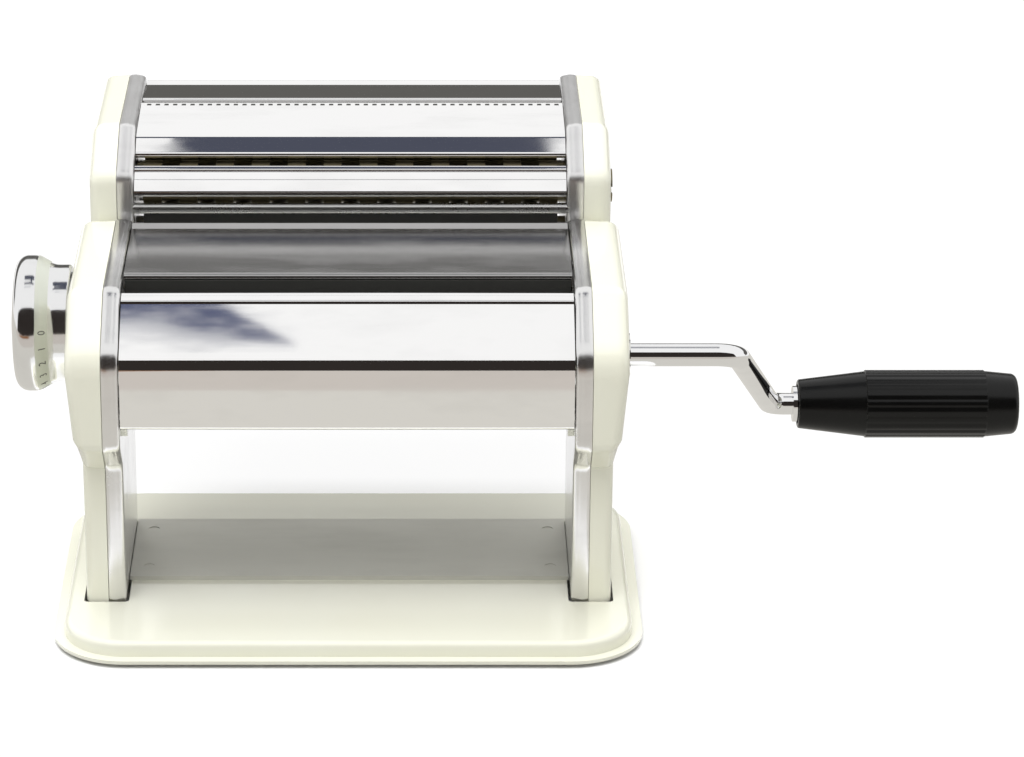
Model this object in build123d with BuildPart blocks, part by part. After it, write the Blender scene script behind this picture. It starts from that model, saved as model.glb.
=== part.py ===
from build123d import *
import os
from math import cos, radians, sin

# A hand-cranked roller for pasta sheets, with a two-way strip cutter hung behind it.
# Millimetres. X runs along the rollers (knob at -X, crank at +X), -Y is the front, +Z is up,
# and the origin is the middle of the base at the height of the table.

# ---------------------------------------------------------------- driving dimensions
# rollers
roller_length = 150.0
roller_radius = 12.5
widest_gap = 4.0
closest_gap = 0.2
setting_clicks = 9
click_angle = 15.0
end_room = 3.0            # free width between a roller's end and its side plate
journal_radius = 4.5
socket_journal_radius = 6.0

# clearances
running = 0.05            # radial, for a shaft in its bush
slack = 0.2               # between sheets and pieces that only lie beside each other
blade_gap = 0.5           # between a scraper and its roller

# sheet thicknesses
side_sheet = 1.2
panel_sheet = 0.8
tray_sheet = 1.2
cover_wall = 1.6

# widths of the side frames, measured outwards
rim_depth = 6.2
body_cover_depth = 12.4
leg_cover_depth = 7.8
cap_depth = 9.8

# heights over the table
foot_gap = 1.5
tray_height = 6.5
roller_height = 96.3
body_over_roller = 23.9
shoulder_over_roller = 7.2
belly_under_roller = 26.8
waist_under_belly = 10.5

# depths, from the front roller's axis
front_reach = 22.0
brow_reach = 1.0
rear_reach = 75.4
front_roller_y = -19.4

# legs and base
leg_front = -30.8
leg_rear = 36.7
base_margin = 10.5        # from the covers of the legs to the base's edge
base_depth = 137.6
base_corner = 22.0
lip_width = 3.7
leg_slot_room = 0.9

# knob
knob_rim_radius = 23.9
knob_neck_radius = 20.6
knob_length = 19.5
knob_pull = 4.0
stem_square = 8.4

# crank and grip
rod_radius = 4.0
crank_out = 37.9          # from the cover to the first corner
crank_lean = 19.0         # how far the arm leans outwards
crank_back = 75.0
crank_drop = 49.1
rod_bend = 9.0
grip_start = 9.9          # from the arm's corner to the grip
grip_length = 80.2
grip_radius = 12.4
spindle_radius = 3.0
flute_count = 24

# cutters
cutter_radius = 8.0
groove_depth = 1.7
strip_width = 6.5
cutter_journal = 4.0
cutter_gear_teeth = 12

# ---------------------------------------------------------------- worked-out places
inner = roller_length / 2 + end_room
web_out = inner + side_sheet
rim_out = inner + rim_depth
body_out = rim_out + body_cover_depth
leg_out = rim_out + leg_cover_depth
cap_out = rim_out + cap_depth
panel_half = inner - slack

base_length = 2 * (leg_out + base_margin)
base_top = foot_gap + tray_height
tray_under = base_top - tray_sheet
roof = roller_height + body_over_roller
shoulder = roller_height + shoulder_over_roller
belly = roller_height - belly_under_roller
waist = belly - waist_under_belly
body_front = front_roller_y - front_reach
body_rear = front_roller_y + rear_reach
brow = front_roller_y + brow_reach

# The rear roller hangs in eccentrics, whose half turn brings it up to the front roller.
travel = widest_gap - closest_gap
setting_angle = setting_clicks * click_angle
half_setting = radians(setting_angle / 2)
eccentricity = travel / 2 / sin(half_setting)
hang = eccentricity * cos(half_setting)
knob_y = front_roller_y + 2 * roller_radius + widest_gap - travel / 2
knob_z = roller_height + (eccentricity + hang) / 2
rear_roller_y = knob_y + travel / 2
rear_roller_z = knob_z - hang

eccentric_radius = journal_radius + eccentricity + 3.4
liner_wall = 2.0
bush_wall = 2.0
bush_end = inner + 5.2
eccentric_end = bush_end + 1.0
lug_sheet = 1.2
cheek_sheet = 1.0
lug_inner = inner - slack - lug_sheet
cheek_inner = roller_length / 2 + 0.3
link_rod_radius = 2.2
link_radius = roller_radius + eccentricity + link_rod_radius + 1.5
link_angle = 75.0

gear_start = rim_out + 1.4
gear_width = 5.2
gear_teeth = 13
gear_tip = roller_radius + widest_gap / 2 + 0.5
gear_root = 2 * roller_radius + closest_gap - gear_tip - 0.35
collar_radius = 7.5
collar_start = gear_start + gear_width + 0.4
collar_end = body_out + 0.8
socket_radius = rod_radius + 0.1
socket_depth = 23.9
dog_radius = 1.25
dog_half = 6.3
dog_back = 2.8            # from the collar's mouth to the dog's axis
dog_slot = 2.8

tie_rod_radius = 3.5
bracket_screw_shank = 4.6
screw_radius = 2.0
screw_head_radius = 3.6
screw_head = 2.2
screw_bite = 8.0
front_panel_face = body_front + 0.4
front_rod = (front_panel_face + panel_sheet + tie_rod_radius + 0.1, belly + 12.5)
upper_rod = (body_rear - 7.0, roof - 9.0)
lower_rod = (body_rear - 7.0, belly + 6.5)
tie_places = [front_rod, upper_rod, lower_rod]
boss_places = [(body_front + 9.4, belly + 5.5), (body_rear - 12.0, roller_height - 12.0)]
bracket_end = (body_rear - 13.0, roller_height + 6.5)

# The cutter attachment stands close behind the body and hangs on a bar.
cut_front = body_rear + 1.4
cut_low = roof - 28.0
cut_shoulder = roof + 14.8
cut_brow = cut_front + 24.6
cut_roof = roof + 26.1
cut_rear = cut_front + 89.6
cut_tail = roof + 24.8
hanger = (cut_front + 5.6, roof - 22.2)
hanger_radius = 3.0
hanger_plate = 1.6
slot_room = 0.3
cutter_apart = 2 * cutter_radius - groove_depth + 0.2
wide_z = roof + 15.3 - cutter_radius
fine_z = roof + 10.8
wide_front_y = cut_front + cutter_radius + 3.1
wide_rear_y = wide_front_y + cutter_apart
fine_front_y = cut_front + 51.1
fine_rear_y = fine_front_y + cutter_apart
cutter_gear_tip = cutter_apart / 2 + 1.05
cutter_gear_root = cutter_apart / 2 - 1.3
cutter_bush_end = inner + 5.0
cutter_gear_start = rim_out + 1.6
cutter_gear_width = 4.6
cutter_collar_end = cap_out + 0.6
rivet_radius = 1.5
cutter_rods = [
    (cut_front + 2.2, wide_z - 5.7, 2.0),
    (cut_front + 38.0, cut_low + 10.0, 3.0),
    (cut_rear - 8.0, cut_low + 12.0, 3.0),
]

os.makedirs("parts", exist_ok=True)


def keep(part, name):
    """Label a finished piece and write it out."""
    part.label = name
    export_step(part, f"parts/{name}.step")


def side_plane(x):
    """A sketching plane square to the rollers: its x is the machine's Y, its y the machine's Z."""
    return Plane.YZ.offset(x)


def end_plane(x, y, z, outwards):
    """A plane at (x, y, z) square to the rollers that faces outwards, 1 for +X or -1 for -X."""
    return Plane(origin=(x, y, z), x_dir=(0, 1, 0), z_dir=(outwards, 0, 0))


def axle_plane(y, z):
    """A plane through an axle for turned profiles: its x is the machine's X, its y is upwards."""
    return Plane(origin=(0, y, z), x_dir=(1, 0, 0), z_dir=(0, -1, 0))


def turned(y, z, steps):
    """A stepped shaft round the axle at (y, z). Each step is (start, end, radius) along X."""
    outline = [(steps[0][0], 0)]
    for start, end, radius in steps:
        outline += [(start, radius), (end, radius)]
    outline.append((steps[-1][1], 0))
    with BuildPart() as shaft:
        with BuildSketch(axle_plane(y, z)):
            with BuildLine():
                Polyline(*outline, close=True)
            make_face()
        revolve(axis=Axis((0, y, z), (1, 0, 0)))
    return shaft.part


def body_outline(inset=0.0, foot=0.0):
    """Corners of the side frame with its leg, each (y, z), drawn in by inset; foot is the leg's end."""
    return [
        (leg_front + inset, foot),
        (leg_front + inset, waist + inset * 0.4),
        (body_front + inset, belly + inset * 0.4),
        (body_front + inset, shoulder - inset * 0.5),
        (brow + inset * 0.3, roof - inset),
        (body_rear - inset, roof - inset),
        (body_rear - inset, belly + inset * 0.6),
        (leg_rear - inset, waist + inset * 0.6),
        (leg_rear - inset, foot),
    ]


def cutter_outline(inset=0.0):
    """Corners of the attachment's side frame, each (y, z), drawn in by inset."""
    return [
        (cut_front + inset, cut_low + inset),
        (cut_front + inset, cut_shoulder - inset * 0.7),
        (cut_brow + inset * 0.3, cut_roof - inset),
        (cut_rear - inset, cut_tail - inset),
        (cut_rear - inset, cut_low + 12.0 + inset * 0.4),
        (cut_rear - 12.0 - inset * 0.4, cut_low + inset),
    ]


def gear(y, z, x, width, teeth, tip, root, tip_width, root_width, bore, phase):
    """A straight-toothed gear whose first tooth points at phase degrees from +Y towards +Z."""
    with BuildPart() as wheel:
        with BuildSketch(Plane(origin=(x, y, z), x_dir=(0, 1, 0), z_dir=(1, 0, 0))):
            Circle(root)
            with PolarLocations(0, teeth, start_angle=phase):
                Polygon(
                    (root - 0.6, -root_width / 2),
                    (tip - 0.5, -tip_width / 2 - 0.15),
                    (tip, -tip_width / 2 + 0.15),
                    (tip, tip_width / 2 - 0.15),
                    (tip - 0.5, tip_width / 2 + 0.15),
                    (root - 0.6, root_width / 2),
                    align=None,
                )
            Circle(bore, mode=Mode.SUBTRACT)
        extrude(amount=width)
    return wheel.part


def bent_sheet(points, radius, thickness, half_width):
    """Sheet metal that follows the side view's centre line, from -half_width to half_width."""
    with BuildPart() as sheet:
        with BuildSketch(side_plane(-half_width)):
            with BuildLine():
                FilletPolyline(*points, radius=radius)
            trace(line_width=thickness)
        extrude(amount=2 * half_width)
    return sheet.part


def screw(x, y, z, shank, outwards):
    """A hexagon screw along X: its head's seat is at x, the head stands outwards, 1 or -1."""
    seat = end_plane(x, y, z, outwards)
    with BuildPart() as fastener:
        with BuildSketch(seat):
            RegularPolygon(screw_head_radius, 6)
        extrude(amount=screw_head)
        with BuildSketch(seat):
            Circle(screw_radius)
        extrude(amount=-shank)
    return fastener.part


# ---------------------------------------------------------------- base
pan_length = base_length - 2 * lip_width
pan_depth = base_depth - 2 * lip_width
slot_inner = inner - leg_slot_room
slot_outer = leg_out + leg_slot_room
foot_radius = 8.0
foot_x = pan_length / 2 - base_corner * 0.62
foot_y = pan_depth / 2 - base_corner * 0.62
plate_front = leg_front + 17.1
plate_thick = 1.5
screw_x = inner - 6.5
screw_ys = [plate_front + 9.0, leg_rear - 9.0]
tab_inner = inner - 12.0

with BuildPart() as base_plate:
    with BuildSketch(Plane.XY.offset(foot_gap)):
        RectangleRounded(base_length, base_depth, base_corner + lip_width)
    extrude(amount=tray_sheet)
    with BuildSketch(Plane.XY.offset(foot_gap)):
        RectangleRounded(pan_length, pan_depth, base_corner)
    extrude(amount=tray_height)
    fillet(base_plate.faces().sort_by(Axis.Z)[-1].outer_wire().edges(), radius=2.2)
    with BuildSketch(Plane.XY.offset(foot_gap)):
        RectangleRounded(
            pan_length - 2 * tray_sheet, pan_depth - 2 * tray_sheet, base_corner - tray_sheet
        )
    extrude(amount=tray_height - tray_sheet, mode=Mode.SUBTRACT)
    with BuildSketch(Plane.XY.offset(tray_under)):
        with Locations(
            ((slot_inner + slot_outer) / 2, (leg_front + leg_rear) / 2),
            (-(slot_inner + slot_outer) / 2, (leg_front + leg_rear) / 2),
        ):
            RectangleRounded(slot_outer - slot_inner, leg_rear - leg_front + 2 * leg_slot_room, 1.5)
        with Locations(*[(side * screw_x, y) for side in (-1, 1) for y in screw_ys]):
            Circle(screw_radius + 0.1)
    extrude(amount=tray_sheet, mode=Mode.SUBTRACT)
keep(base_plate.part, "base_plate")

with BuildPart() as rubber_feet:
    with BuildSketch(Plane.XY):
        with GridLocations(2 * foot_x, 2 * foot_y, 2, 2):
            Circle(foot_radius)
    extrude(amount=tray_under)
    chamfer(rubber_feet.faces().group_by(Axis.Z)[0].edges(), length=0.8)
keep(rubber_feet.part, "rubber_feet")

with BuildPart() as cross_plate:
    with BuildSketch(Plane.XY.offset(base_top)):
        with Locations((0, (plate_front + leg_rear) / 2)):
            Rectangle(2 * panel_half, leg_rear - plate_front)
        with Locations(*[(side * screw_x, y) for side in (-1, 1) for y in screw_ys]):
            Circle(screw_radius, mode=Mode.SUBTRACT)
    extrude(amount=plate_thick)
keep(cross_plate.part, "cross_plate")

with BuildPart() as base_screws:
    with BuildSketch(Plane.XY.offset(tray_under - side_sheet)):
        with Locations(*[(side * screw_x, y) for side in (-1, 1) for y in screw_ys]):
            Circle(screw_radius)
    extrude(amount=side_sheet + tray_sheet + plate_thick - 0.2)
    with BuildSketch(Plane.XY.offset(tray_under - side_sheet)):
        with Locations(*[(side * screw_x, y) for side in (-1, 1) for y in screw_ys]):
            RegularPolygon(screw_head_radius, 6)
    extrude(amount=-screw_head)
keep(base_screws.part, "base_screws")


# ---------------------------------------------------------------- side frames
def side_plate(side, holes):
    """A pressed side plate: a web with its rim turned outwards, a leg, and a tab under the base.

    side is 1 for the crank side and -1 for the knob side; holes lists (y, z, radius) in the web.
    """
    foot = tray_under - side_sheet
    with BuildPart() as plate:
        with BuildSketch(side_plane(inner)):
            with BuildLine():
                Polyline(*body_outline(0.0, foot), close=True)
            make_face()
        extrude(amount=rim_depth)
        upright = plate.edges().filter_by(Axis.X).group_by(Axis.Z)
        fillet([e for group in upright[1:] for e in group], radius=4.0)
        with BuildSketch(side_plane(web_out)) as pocket:
            with BuildLine():
                Polyline(*body_outline(side_sheet, foot - 1.0), close=True)
            make_face()
            fillet(pocket.vertices().group_by(Axis.Y)[-1], radius=2.8)
        extrude(amount=rim_depth, mode=Mode.SUBTRACT)
        with BuildSketch(Plane.XY.offset(foot)):
            with Locations(((tab_inner + inner) / 2, (plate_front + leg_rear) / 2)):
                Rectangle(inner - tab_inner, leg_rear - plate_front - 4.0)
            with Locations(*[(screw_x, y) for y in screw_ys]):
                Circle(screw_radius + 0.1, mode=Mode.SUBTRACT)
        extrude(amount=side_sheet)
        for y, z, radius in holes:
            with BuildSketch(side_plane(inner)):
                with Locations((y, z)):
                    Circle(radius)
            extrude(amount=side_sheet, mode=Mode.SUBTRACT)
    return plate.part if side > 0 else plate.part.mirror(Plane.YZ)


bush_radius_right = socket_journal_radius + running + bush_wall
bush_radius_left = journal_radius + running + bush_wall
liner_radius = eccentric_radius + running + liner_wall
axle_distance = ((knob_y - front_roller_y) ** 2 + (knob_z - roller_height) ** 2) ** 0.5
flange_width = (axle_distance - bush_radius_right - liner_radius - 1.0) / 2
plain_holes = [(y, z, screw_radius + 0.1) for y, z in tie_places]
plain_holes += [(y, z, screw_radius + 0.1) for y, z in boss_places + [bracket_end]]

with BuildPart() as right_side_plate:
    add(side_plate(1, plain_holes + [
        (front_roller_y, roller_height, bush_radius_right),
        (knob_y, knob_z, liner_radius),
    ]))
keep(right_side_plate.part, "right_side_plate")

with BuildPart() as left_side_plate:
    add(side_plate(-1, plain_holes + [
        (front_roller_y, roller_height, bush_radius_left),
        (knob_y, knob_z, liner_radius),
    ]))
keep(left_side_plate.part, "left_side_plate")


def side_cover(side, hole_y, hole_z, hole_radius):
    """A painted shell over the side plate: a deep box over the body and a shallower one down the leg."""
    foot = tray_under + 0.4
    boss_radius = 4.0
    leg_points = [
        (leg_front, foot), (leg_front, belly), (leg_rear, belly), (leg_rear, foot),
    ]
    with BuildPart() as cover:
        with BuildSketch(side_plane(rim_out)):
            with BuildLine():
                Polyline(*body_outline(0.0, waist - 2.0), close=True)
            make_face()
        extrude(amount=body_cover_depth)
        fillet(cover.edges().filter_by(Axis.X).group_by(Axis.Z)[1:][-1], radius=4.0)
        chamfer(cover.faces().sort_by(Axis.X)[-1].outer_wire().edges(), length=2.6)
        with BuildSketch(side_plane(rim_out)):
            with BuildLine():
                Polyline(*leg_points, close=True)
            make_face()
        extrude(amount=leg_cover_depth)
        with BuildSketch(side_plane(rim_out)):
            with BuildLine():
                Polyline(*body_outline(cover_wall, waist - 2.0 + cover_wall), close=True)
            make_face()
        extrude(amount=body_cover_depth - cover_wall, taper=6, mode=Mode.SUBTRACT)
        with BuildSketch(side_plane(rim_out)):
            with BuildLine():
                Polyline(
                    (leg_front + cover_wall, foot - 1), (leg_front + cover_wall, belly),
                    (leg_rear - cover_wall, belly), (leg_rear - cover_wall, foot - 1), close=True,
                )
            make_face()
        extrude(amount=leg_cover_depth - cover_wall, mode=Mode.SUBTRACT)
        with BuildSketch(side_plane(web_out)):
            with Locations(*boss_places):
                Circle(boss_radius)
                Circle(screw_radius, mode=Mode.SUBTRACT)
        extrude(amount=body_out - cover_wall / 2 - web_out)
        with BuildSketch(side_plane(body_out - 2 * cover_wall)):
            with Locations((hole_y, hole_z)):
                Circle(hole_radius)
        extrude(amount=4 * cover_wall, mode=Mode.SUBTRACT)
    return cover.part if side > 0 else cover.part.mirror(Plane.YZ)


with BuildPart() as right_side_cover:
    add(side_cover(1, front_roller_y, roller_height, collar_radius + 0.8))
keep(right_side_cover.part, "right_side_cover")

with BuildPart() as left_side_cover:
    add(side_cover(-1, knob_y, knob_z, stem_square * 0.75 + 0.6))
keep(left_side_cover.part, "left_side_cover")

with BuildPart() as cover_screws:
    for y, z in boss_places:
        add(screw(inner, y, z, side_sheet + 7.0, -1))
        add(screw(-inner, y, z, side_sheet + 7.0, 1))
    for side in (-1, 1):
        add(screw(side * (inner - hanger_plate), *bracket_end, bracket_screw_shank, -side))
keep(cover_screws.part, "cover_screws")

# ---------------------------------------------------------------- tie rods
with BuildPart() as tie_rods:
    for y, z in tie_places:
        add(turned(y, z, [(-inner, inner, tie_rod_radius)]))
        for side in (-1, 1):
            with BuildSketch(end_plane(side * inner, y, z, side)):
                Circle(screw_radius)
            extrude(amount=-screw_bite - 1.0, mode=Mode.SUBTRACT)
keep(tie_rods.part, "tie_rods")

with BuildPart() as tie_rod_screws:
    for y, z in tie_places:
        add(screw(web_out, y, z, side_sheet + screw_bite, 1))
        add(screw(-web_out, y, z, side_sheet + screw_bite, -1))
keep(tie_rod_screws.part, "tie_rod_screws")

# ---------------------------------------------------------------- folded panels
panel_line = front_panel_face + panel_sheet / 2
fold_z = shoulder - 2.0
front_fold = 4.0
mouth_front = brow - 3.6
mouth_front_z = fold_z + (mouth_front - panel_line) * 0.76
with BuildPart() as front_cover:
    add(bent_sheet(
        [
            (panel_line + 4.6, belly + 7.8), (panel_line, belly + 7.8), (panel_line, fold_z),
            (mouth_front, mouth_front_z), (mouth_front + 3.0, mouth_front_z - 2.6),
        ],
        (0.9, front_fold, 0.9), panel_sheet, panel_half,
    ))
keep(front_cover.part, "front_cover")

top_z = roof - panel_sheet / 2 + 0.3
mouth_rear = front_roller_y + 14.8
top_rear = body_rear - 11.0
with BuildPart() as top_plate:
    add(bent_sheet(
        [
            (mouth_rear + 1.2, top_z - 5.0), (mouth_rear + 0.4, top_z), (top_rear, top_z),
            (top_rear + 1.6, top_z - 3.0),
        ],
        0.9, panel_sheet, panel_half,
    ))
keep(top_plate.part, "top_plate")

rear_line = body_rear - 7.0 + tie_rod_radius + 0.1 + panel_sheet / 2
rear_hem = lower_rod[1] - tie_rod_radius - panel_sheet
with BuildPart() as rear_panel:
    add(bent_sheet(
        [
            (rear_line - 2.4, roof - 3.4), (rear_line, roof - 5.4), (rear_line, rear_hem),
            (rear_line - 4.0, rear_hem),
        ],
        0.9, panel_sheet, inner - hanger_plate - 2 * slack,
    ))
keep(rear_panel.part, "rear_panel")

# ---------------------------------------------------------------- bushes
bush_inner = cheek_inner + cheek_sheet + slack


def bush(side, y, z, bore, wall, start, flange):
    """A flanged plain bush pressed into a side plate from outside."""
    radius = bore + wall
    steps = [
        (start, web_out, radius), (web_out, web_out + side_sheet, radius + flange),
        (web_out + side_sheet, bush_end, radius),
    ]
    with BuildPart() as sleeve:
        add(turned(y, z, steps))
        with BuildSketch(side_plane(start)):
            with Locations((y, z)):
                Circle(bore)
        extrude(amount=bush_end - start, mode=Mode.SUBTRACT)
    return sleeve.part if side > 0 else sleeve.part.mirror(Plane.YZ)


with BuildPart() as roller_bushes:
    add(bush(1, front_roller_y, roller_height, socket_journal_radius + running, bush_wall, bush_inner, flange_width))
    add(bush(-1, front_roller_y, roller_height, journal_radius + running, bush_wall, bush_inner, flange_width))
keep(roller_bushes.part, "roller_bushes")

with BuildPart() as adjuster_bushes:
    for side in (-1, 1):
        add(bush(side, knob_y, knob_z, eccentric_radius + running, liner_wall, inner, flange_width))
keep(adjuster_bushes.part, "adjuster_bushes")

# ---------------------------------------------------------------- front roller, its gear and scraper
dog_plane_x = collar_end - dog_back
with BuildPart() as front_roller:
    add(turned(front_roller_y, roller_height, [
        (-eccentric_end, -roller_length / 2, journal_radius),
        (-roller_length / 2, roller_length / 2, roller_radius),
        (roller_length / 2, collar_start, socket_journal_radius),
        (collar_start, collar_end, collar_radius),
    ]))
    with BuildSketch(side_plane(collar_end - socket_depth)):
        with Locations((front_roller_y, roller_height)):
            Circle(socket_radius)
    extrude(amount=socket_depth, mode=Mode.SUBTRACT)
    with BuildSketch(side_plane(collar_end - dog_back - dog_slot / 2)):
        with Locations((front_roller_y, roller_height)):
            Rectangle(2 * collar_radius + 1, dog_slot)
    extrude(amount=dog_back + dog_slot, mode=Mode.SUBTRACT)
keep(front_roller.part, "front_roller")

gear_shape = (gear_width, gear_teeth, gear_tip, gear_root, 1.0, 2.2)
with BuildPart() as drive_gear:
    add(gear(front_roller_y, roller_height, gear_start, *gear_shape, socket_journal_radius, 0.0))
keep(drive_gear.part, "drive_gear")

blade_angle = radians(-74)
blade_drop = 4.6
blade_top = roller_radius + blade_gap + panel_sheet / 2
blade_points = [
    (blade_top * cos(blade_angle), blade_top * sin(blade_angle)),
    (0.4, -blade_top - blade_drop + 0.4),
    (-4.8, -blade_top - blade_drop + 0.4),
]
with BuildPart() as front_scraper:
    add(bent_sheet(
        [(front_roller_y + y, roller_height + z) for y, z in blade_points],
        0.8, panel_sheet, panel_half,
    ))
keep(front_scraper.part, "front_scraper")

# ---------------------------------------------------------------- rear roller and what carries it
with BuildPart() as rear_roller:
    add(turned(rear_roller_y, rear_roller_z, [
        (-bush_end, -roller_length / 2, journal_radius),
        (-roller_length / 2, roller_length / 2, roller_radius),
        (roller_length / 2, gear_start + gear_width + 0.6, journal_radius),
    ]))
keep(rear_roller.part, "rear_roller")

with BuildPart() as driven_gear:
    add(gear(
        rear_roller_y, rear_roller_z, gear_start, *gear_shape, journal_radius, 180 / gear_teeth + 180,
    ))
keep(driven_gear.part, "driven_gear")

link_place = (
    knob_y + link_radius * cos(radians(link_angle)),
    knob_z + link_radius * sin(radians(link_angle)),
)


def eccentric(side):
    """An eccentric with the lug that the link rod joins, bored for the roller's journal."""
    with BuildPart() as disc:
        with BuildSketch(side_plane(lug_inner)):
            with Locations((knob_y, knob_z)):
                Circle(eccentric_radius - 0.4)
            with Locations(link_place):
                Circle(link_rod_radius + 2.0)
            make_hull()
        extrude(amount=lug_sheet)
        with BuildSketch(side_plane(lug_inner)):
            with Locations((knob_y, knob_z)):
                Circle(eccentric_radius)
        extrude(amount=eccentric_end - lug_inner)
        bore_end = eccentric_end + 1 if side > 0 else bush_end + 0.4
        with BuildSketch(side_plane(lug_inner)):
            with Locations((rear_roller_y, rear_roller_z)):
                Circle(journal_radius + running)
        extrude(amount=bore_end - lug_inner, mode=Mode.SUBTRACT)
        with BuildSketch(side_plane(lug_inner)):
            with Locations(link_place):
                Circle(link_rod_radius)
        extrude(amount=lug_sheet, mode=Mode.SUBTRACT)
    return disc.part if side > 0 else disc.part.mirror(Plane.YZ)


stem_radius = stem_square * 0.75
knob_back = body_out + 0.5
recess_floor = knob_back + 4.0
knob_web = 3.0
stem_end = knob_back + 15.4
with BuildPart() as left_eccentric:
    add(eccentric(-1))
    with BuildSketch(end_plane(-eccentric_end, knob_y, knob_z, -1)):
        Circle(stem_radius)
    extrude(amount=knob_back - eccentric_end)
    with BuildSketch(end_plane(-knob_back, knob_y, knob_z, -1)):
        Rectangle(stem_square, stem_square)
    extrude(amount=stem_end - knob_back)
    with BuildSketch(end_plane(-stem_end, knob_y, knob_z, -1)):
        Circle(screw_radius)
    extrude(amount=-9.0, mode=Mode.SUBTRACT)
keep(left_eccentric.part, "left_eccentric")

with BuildPart() as right_eccentric:
    add(eccentric(1))
keep(right_eccentric.part, "right_eccentric")

with BuildPart() as link_rod:
    add(turned(*link_place, [(-lug_inner - lug_sheet, lug_inner + lug_sheet, link_rod_radius)]))
keep(link_rod.part, "link_rod")

# The rear scraper hangs on the roller's journals, so it keeps its place while the roller is set.
with BuildPart() as rear_scraper:
    add(bent_sheet(
        [(rear_roller_y - y, rear_roller_z + z) for y, z in blade_points],
        0.8, panel_sheet, cheek_inner + cheek_sheet / 2,
    ))
    for start in (cheek_inner, -cheek_inner - cheek_sheet):
        with BuildSketch(side_plane(start)):
            with Locations((rear_roller_y, rear_roller_z)):
                Circle(journal_radius + 2.4)
            with Locations((rear_roller_y + 2.0, rear_roller_z - blade_top - blade_drop + 0.4)):
                Rectangle(5.6, 0.8)
            make_hull()
            with Locations((rear_roller_y, rear_roller_z)):
                Circle(journal_radius + running, mode=Mode.SUBTRACT)
        extrude(amount=cheek_sheet)
keep(rear_scraper.part, "rear_scraper")

# ---------------------------------------------------------------- thickness knob
index_radius = 13.5
index_thick = 1.4
index_hole = stem_radius + 0.6
nose_radius = 1.5


def knob_point(angle, radius):
    """A place on the knob's face, by angle from +Y towards +Z."""
    return (knob_y + radius * cos(radians(angle)), knob_z + radius * sin(radians(angle)))


nose_angle = 200.0
with BuildPart() as index_plate:
    with BuildSketch(side_plane(-body_out)):
        with Locations((knob_y, knob_z)):
            Circle(index_radius + 3.4)
            Circle(index_hole, mode=Mode.SUBTRACT)
    extrude(amount=-index_thick)
    with BuildSketch(side_plane(-body_out - index_thick)):
        with Locations(*[knob_point(nose_angle - i * click_angle, index_radius)
                         for i in range(setting_clicks + 1)]):
            RegularPolygon(1.6, 6)
    extrude(amount=0.9, mode=Mode.SUBTRACT)
keep(index_plate.part, "index_plate")

spring_cavity = 8.6
cap_radius = 15.0
cap_seat = knob_back + knob_length - 1.6
with BuildPart() as thickness_knob:
    with BuildSketch(axle_plane(knob_y, knob_z)):
        with BuildLine():
            Polyline(
                (-knob_back, index_radius + 4.4), (-knob_back, knob_neck_radius),
                (-knob_back - 6.5, knob_neck_radius + 0.5), (-knob_back - 10.6, knob_rim_radius),
                (-knob_back - knob_length + 2.4, knob_rim_radius),
                (-knob_back - knob_length + 0.7, knob_rim_radius - 0.8),
                (-knob_back - knob_length, knob_rim_radius - 2.6),
                (-knob_back - knob_length, cap_radius), (-cap_seat, cap_radius),
                (-cap_seat, spring_cavity), (-recess_floor - knob_web, spring_cavity),
                (-recess_floor - knob_web, 0), (-recess_floor, 0), (-recess_floor, index_radius + 4.4),
                (-knob_back, index_radius + 4.4),
            )
        make_face()
    revolve(axis=Axis((0, knob_y, knob_z), (1, 0, 0)))
    with BuildSketch(side_plane(-recess_floor)):
        with Locations((knob_y, knob_z)):
            Rectangle(stem_square + 2 * running, stem_square + 2 * running)
    extrude(amount=-knob_web, mode=Mode.SUBTRACT)
    with BuildSketch(side_plane(-recess_floor)):
        with Locations(knob_point(nose_angle, index_radius)):
            Circle(nose_radius)
    extrude(amount=recess_floor - body_out - index_thick - slack)
keep(thickness_knob.part, "thickness_knob")

dome_rise = 1.8
with BuildPart() as knob_cap:
    with BuildSketch(axle_plane(knob_y, knob_z)):
        with BuildLine():
            Polyline(
                (-cap_seat, 0), (-cap_seat, cap_radius), (-knob_back - knob_length, cap_radius),
                (-knob_back - knob_length - dome_rise * 0.75, cap_radius / 2),
                (-knob_back - knob_length - dome_rise, cap_radius / 6),
                (-knob_back - knob_length - dome_rise, 0), close=True,
            )
        make_face()
    revolve(axis=Axis((0, knob_y, knob_z), (1, 0, 0)))
keep(knob_cap.part, "knob_cap")

retainer_thick = 1.4
with BuildPart() as knob_screw:
    add(turned(knob_y, knob_z, [
        (-stem_end - retainer_thick, -stem_end, spring_cavity - 0.8),
        (-stem_end, -stem_end + 8.0, screw_radius),
    ]))
keep(knob_screw.part, "knob_screw")

# The knob's spring: one square wire wound by formula, between the knob's web and the screw's head.
spring_wire = 0.5
spring_radius = spring_cavity - spring_wire - 0.9
spring_turns = 2
spring_seat = 0.15
spring_start = recess_floor + knob_web + spring_wire + spring_seat
spring_length = stem_end - spring_wire - spring_seat - spring_start
spring_arcs = 4 * spring_turns


def spring_point(quarter):
    """A place on the spring's centre line, counted in quarter turns from the knob's web."""
    turn = radians(90 * quarter)
    return (
        -spring_start - spring_length * quarter / spring_arcs,
        knob_y + spring_radius * cos(turn), knob_z + spring_radius * sin(turn),
    )


with BuildPart() as knob_spring:
    with BuildLine() as coil:
        for quarter in range(spring_arcs):
            ThreePointArc(spring_point(quarter), spring_point(quarter + 0.5), spring_point(quarter + 1))
    with BuildSketch(Plane(origin=coil.line @ 0, x_dir=(1, 0, 0), z_dir=coil.line % 0)):
        Rectangle(2 * spring_wire, 2 * spring_wire)
    sweep(path=coil.line)
keep(knob_spring.part, "knob_spring")

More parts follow.
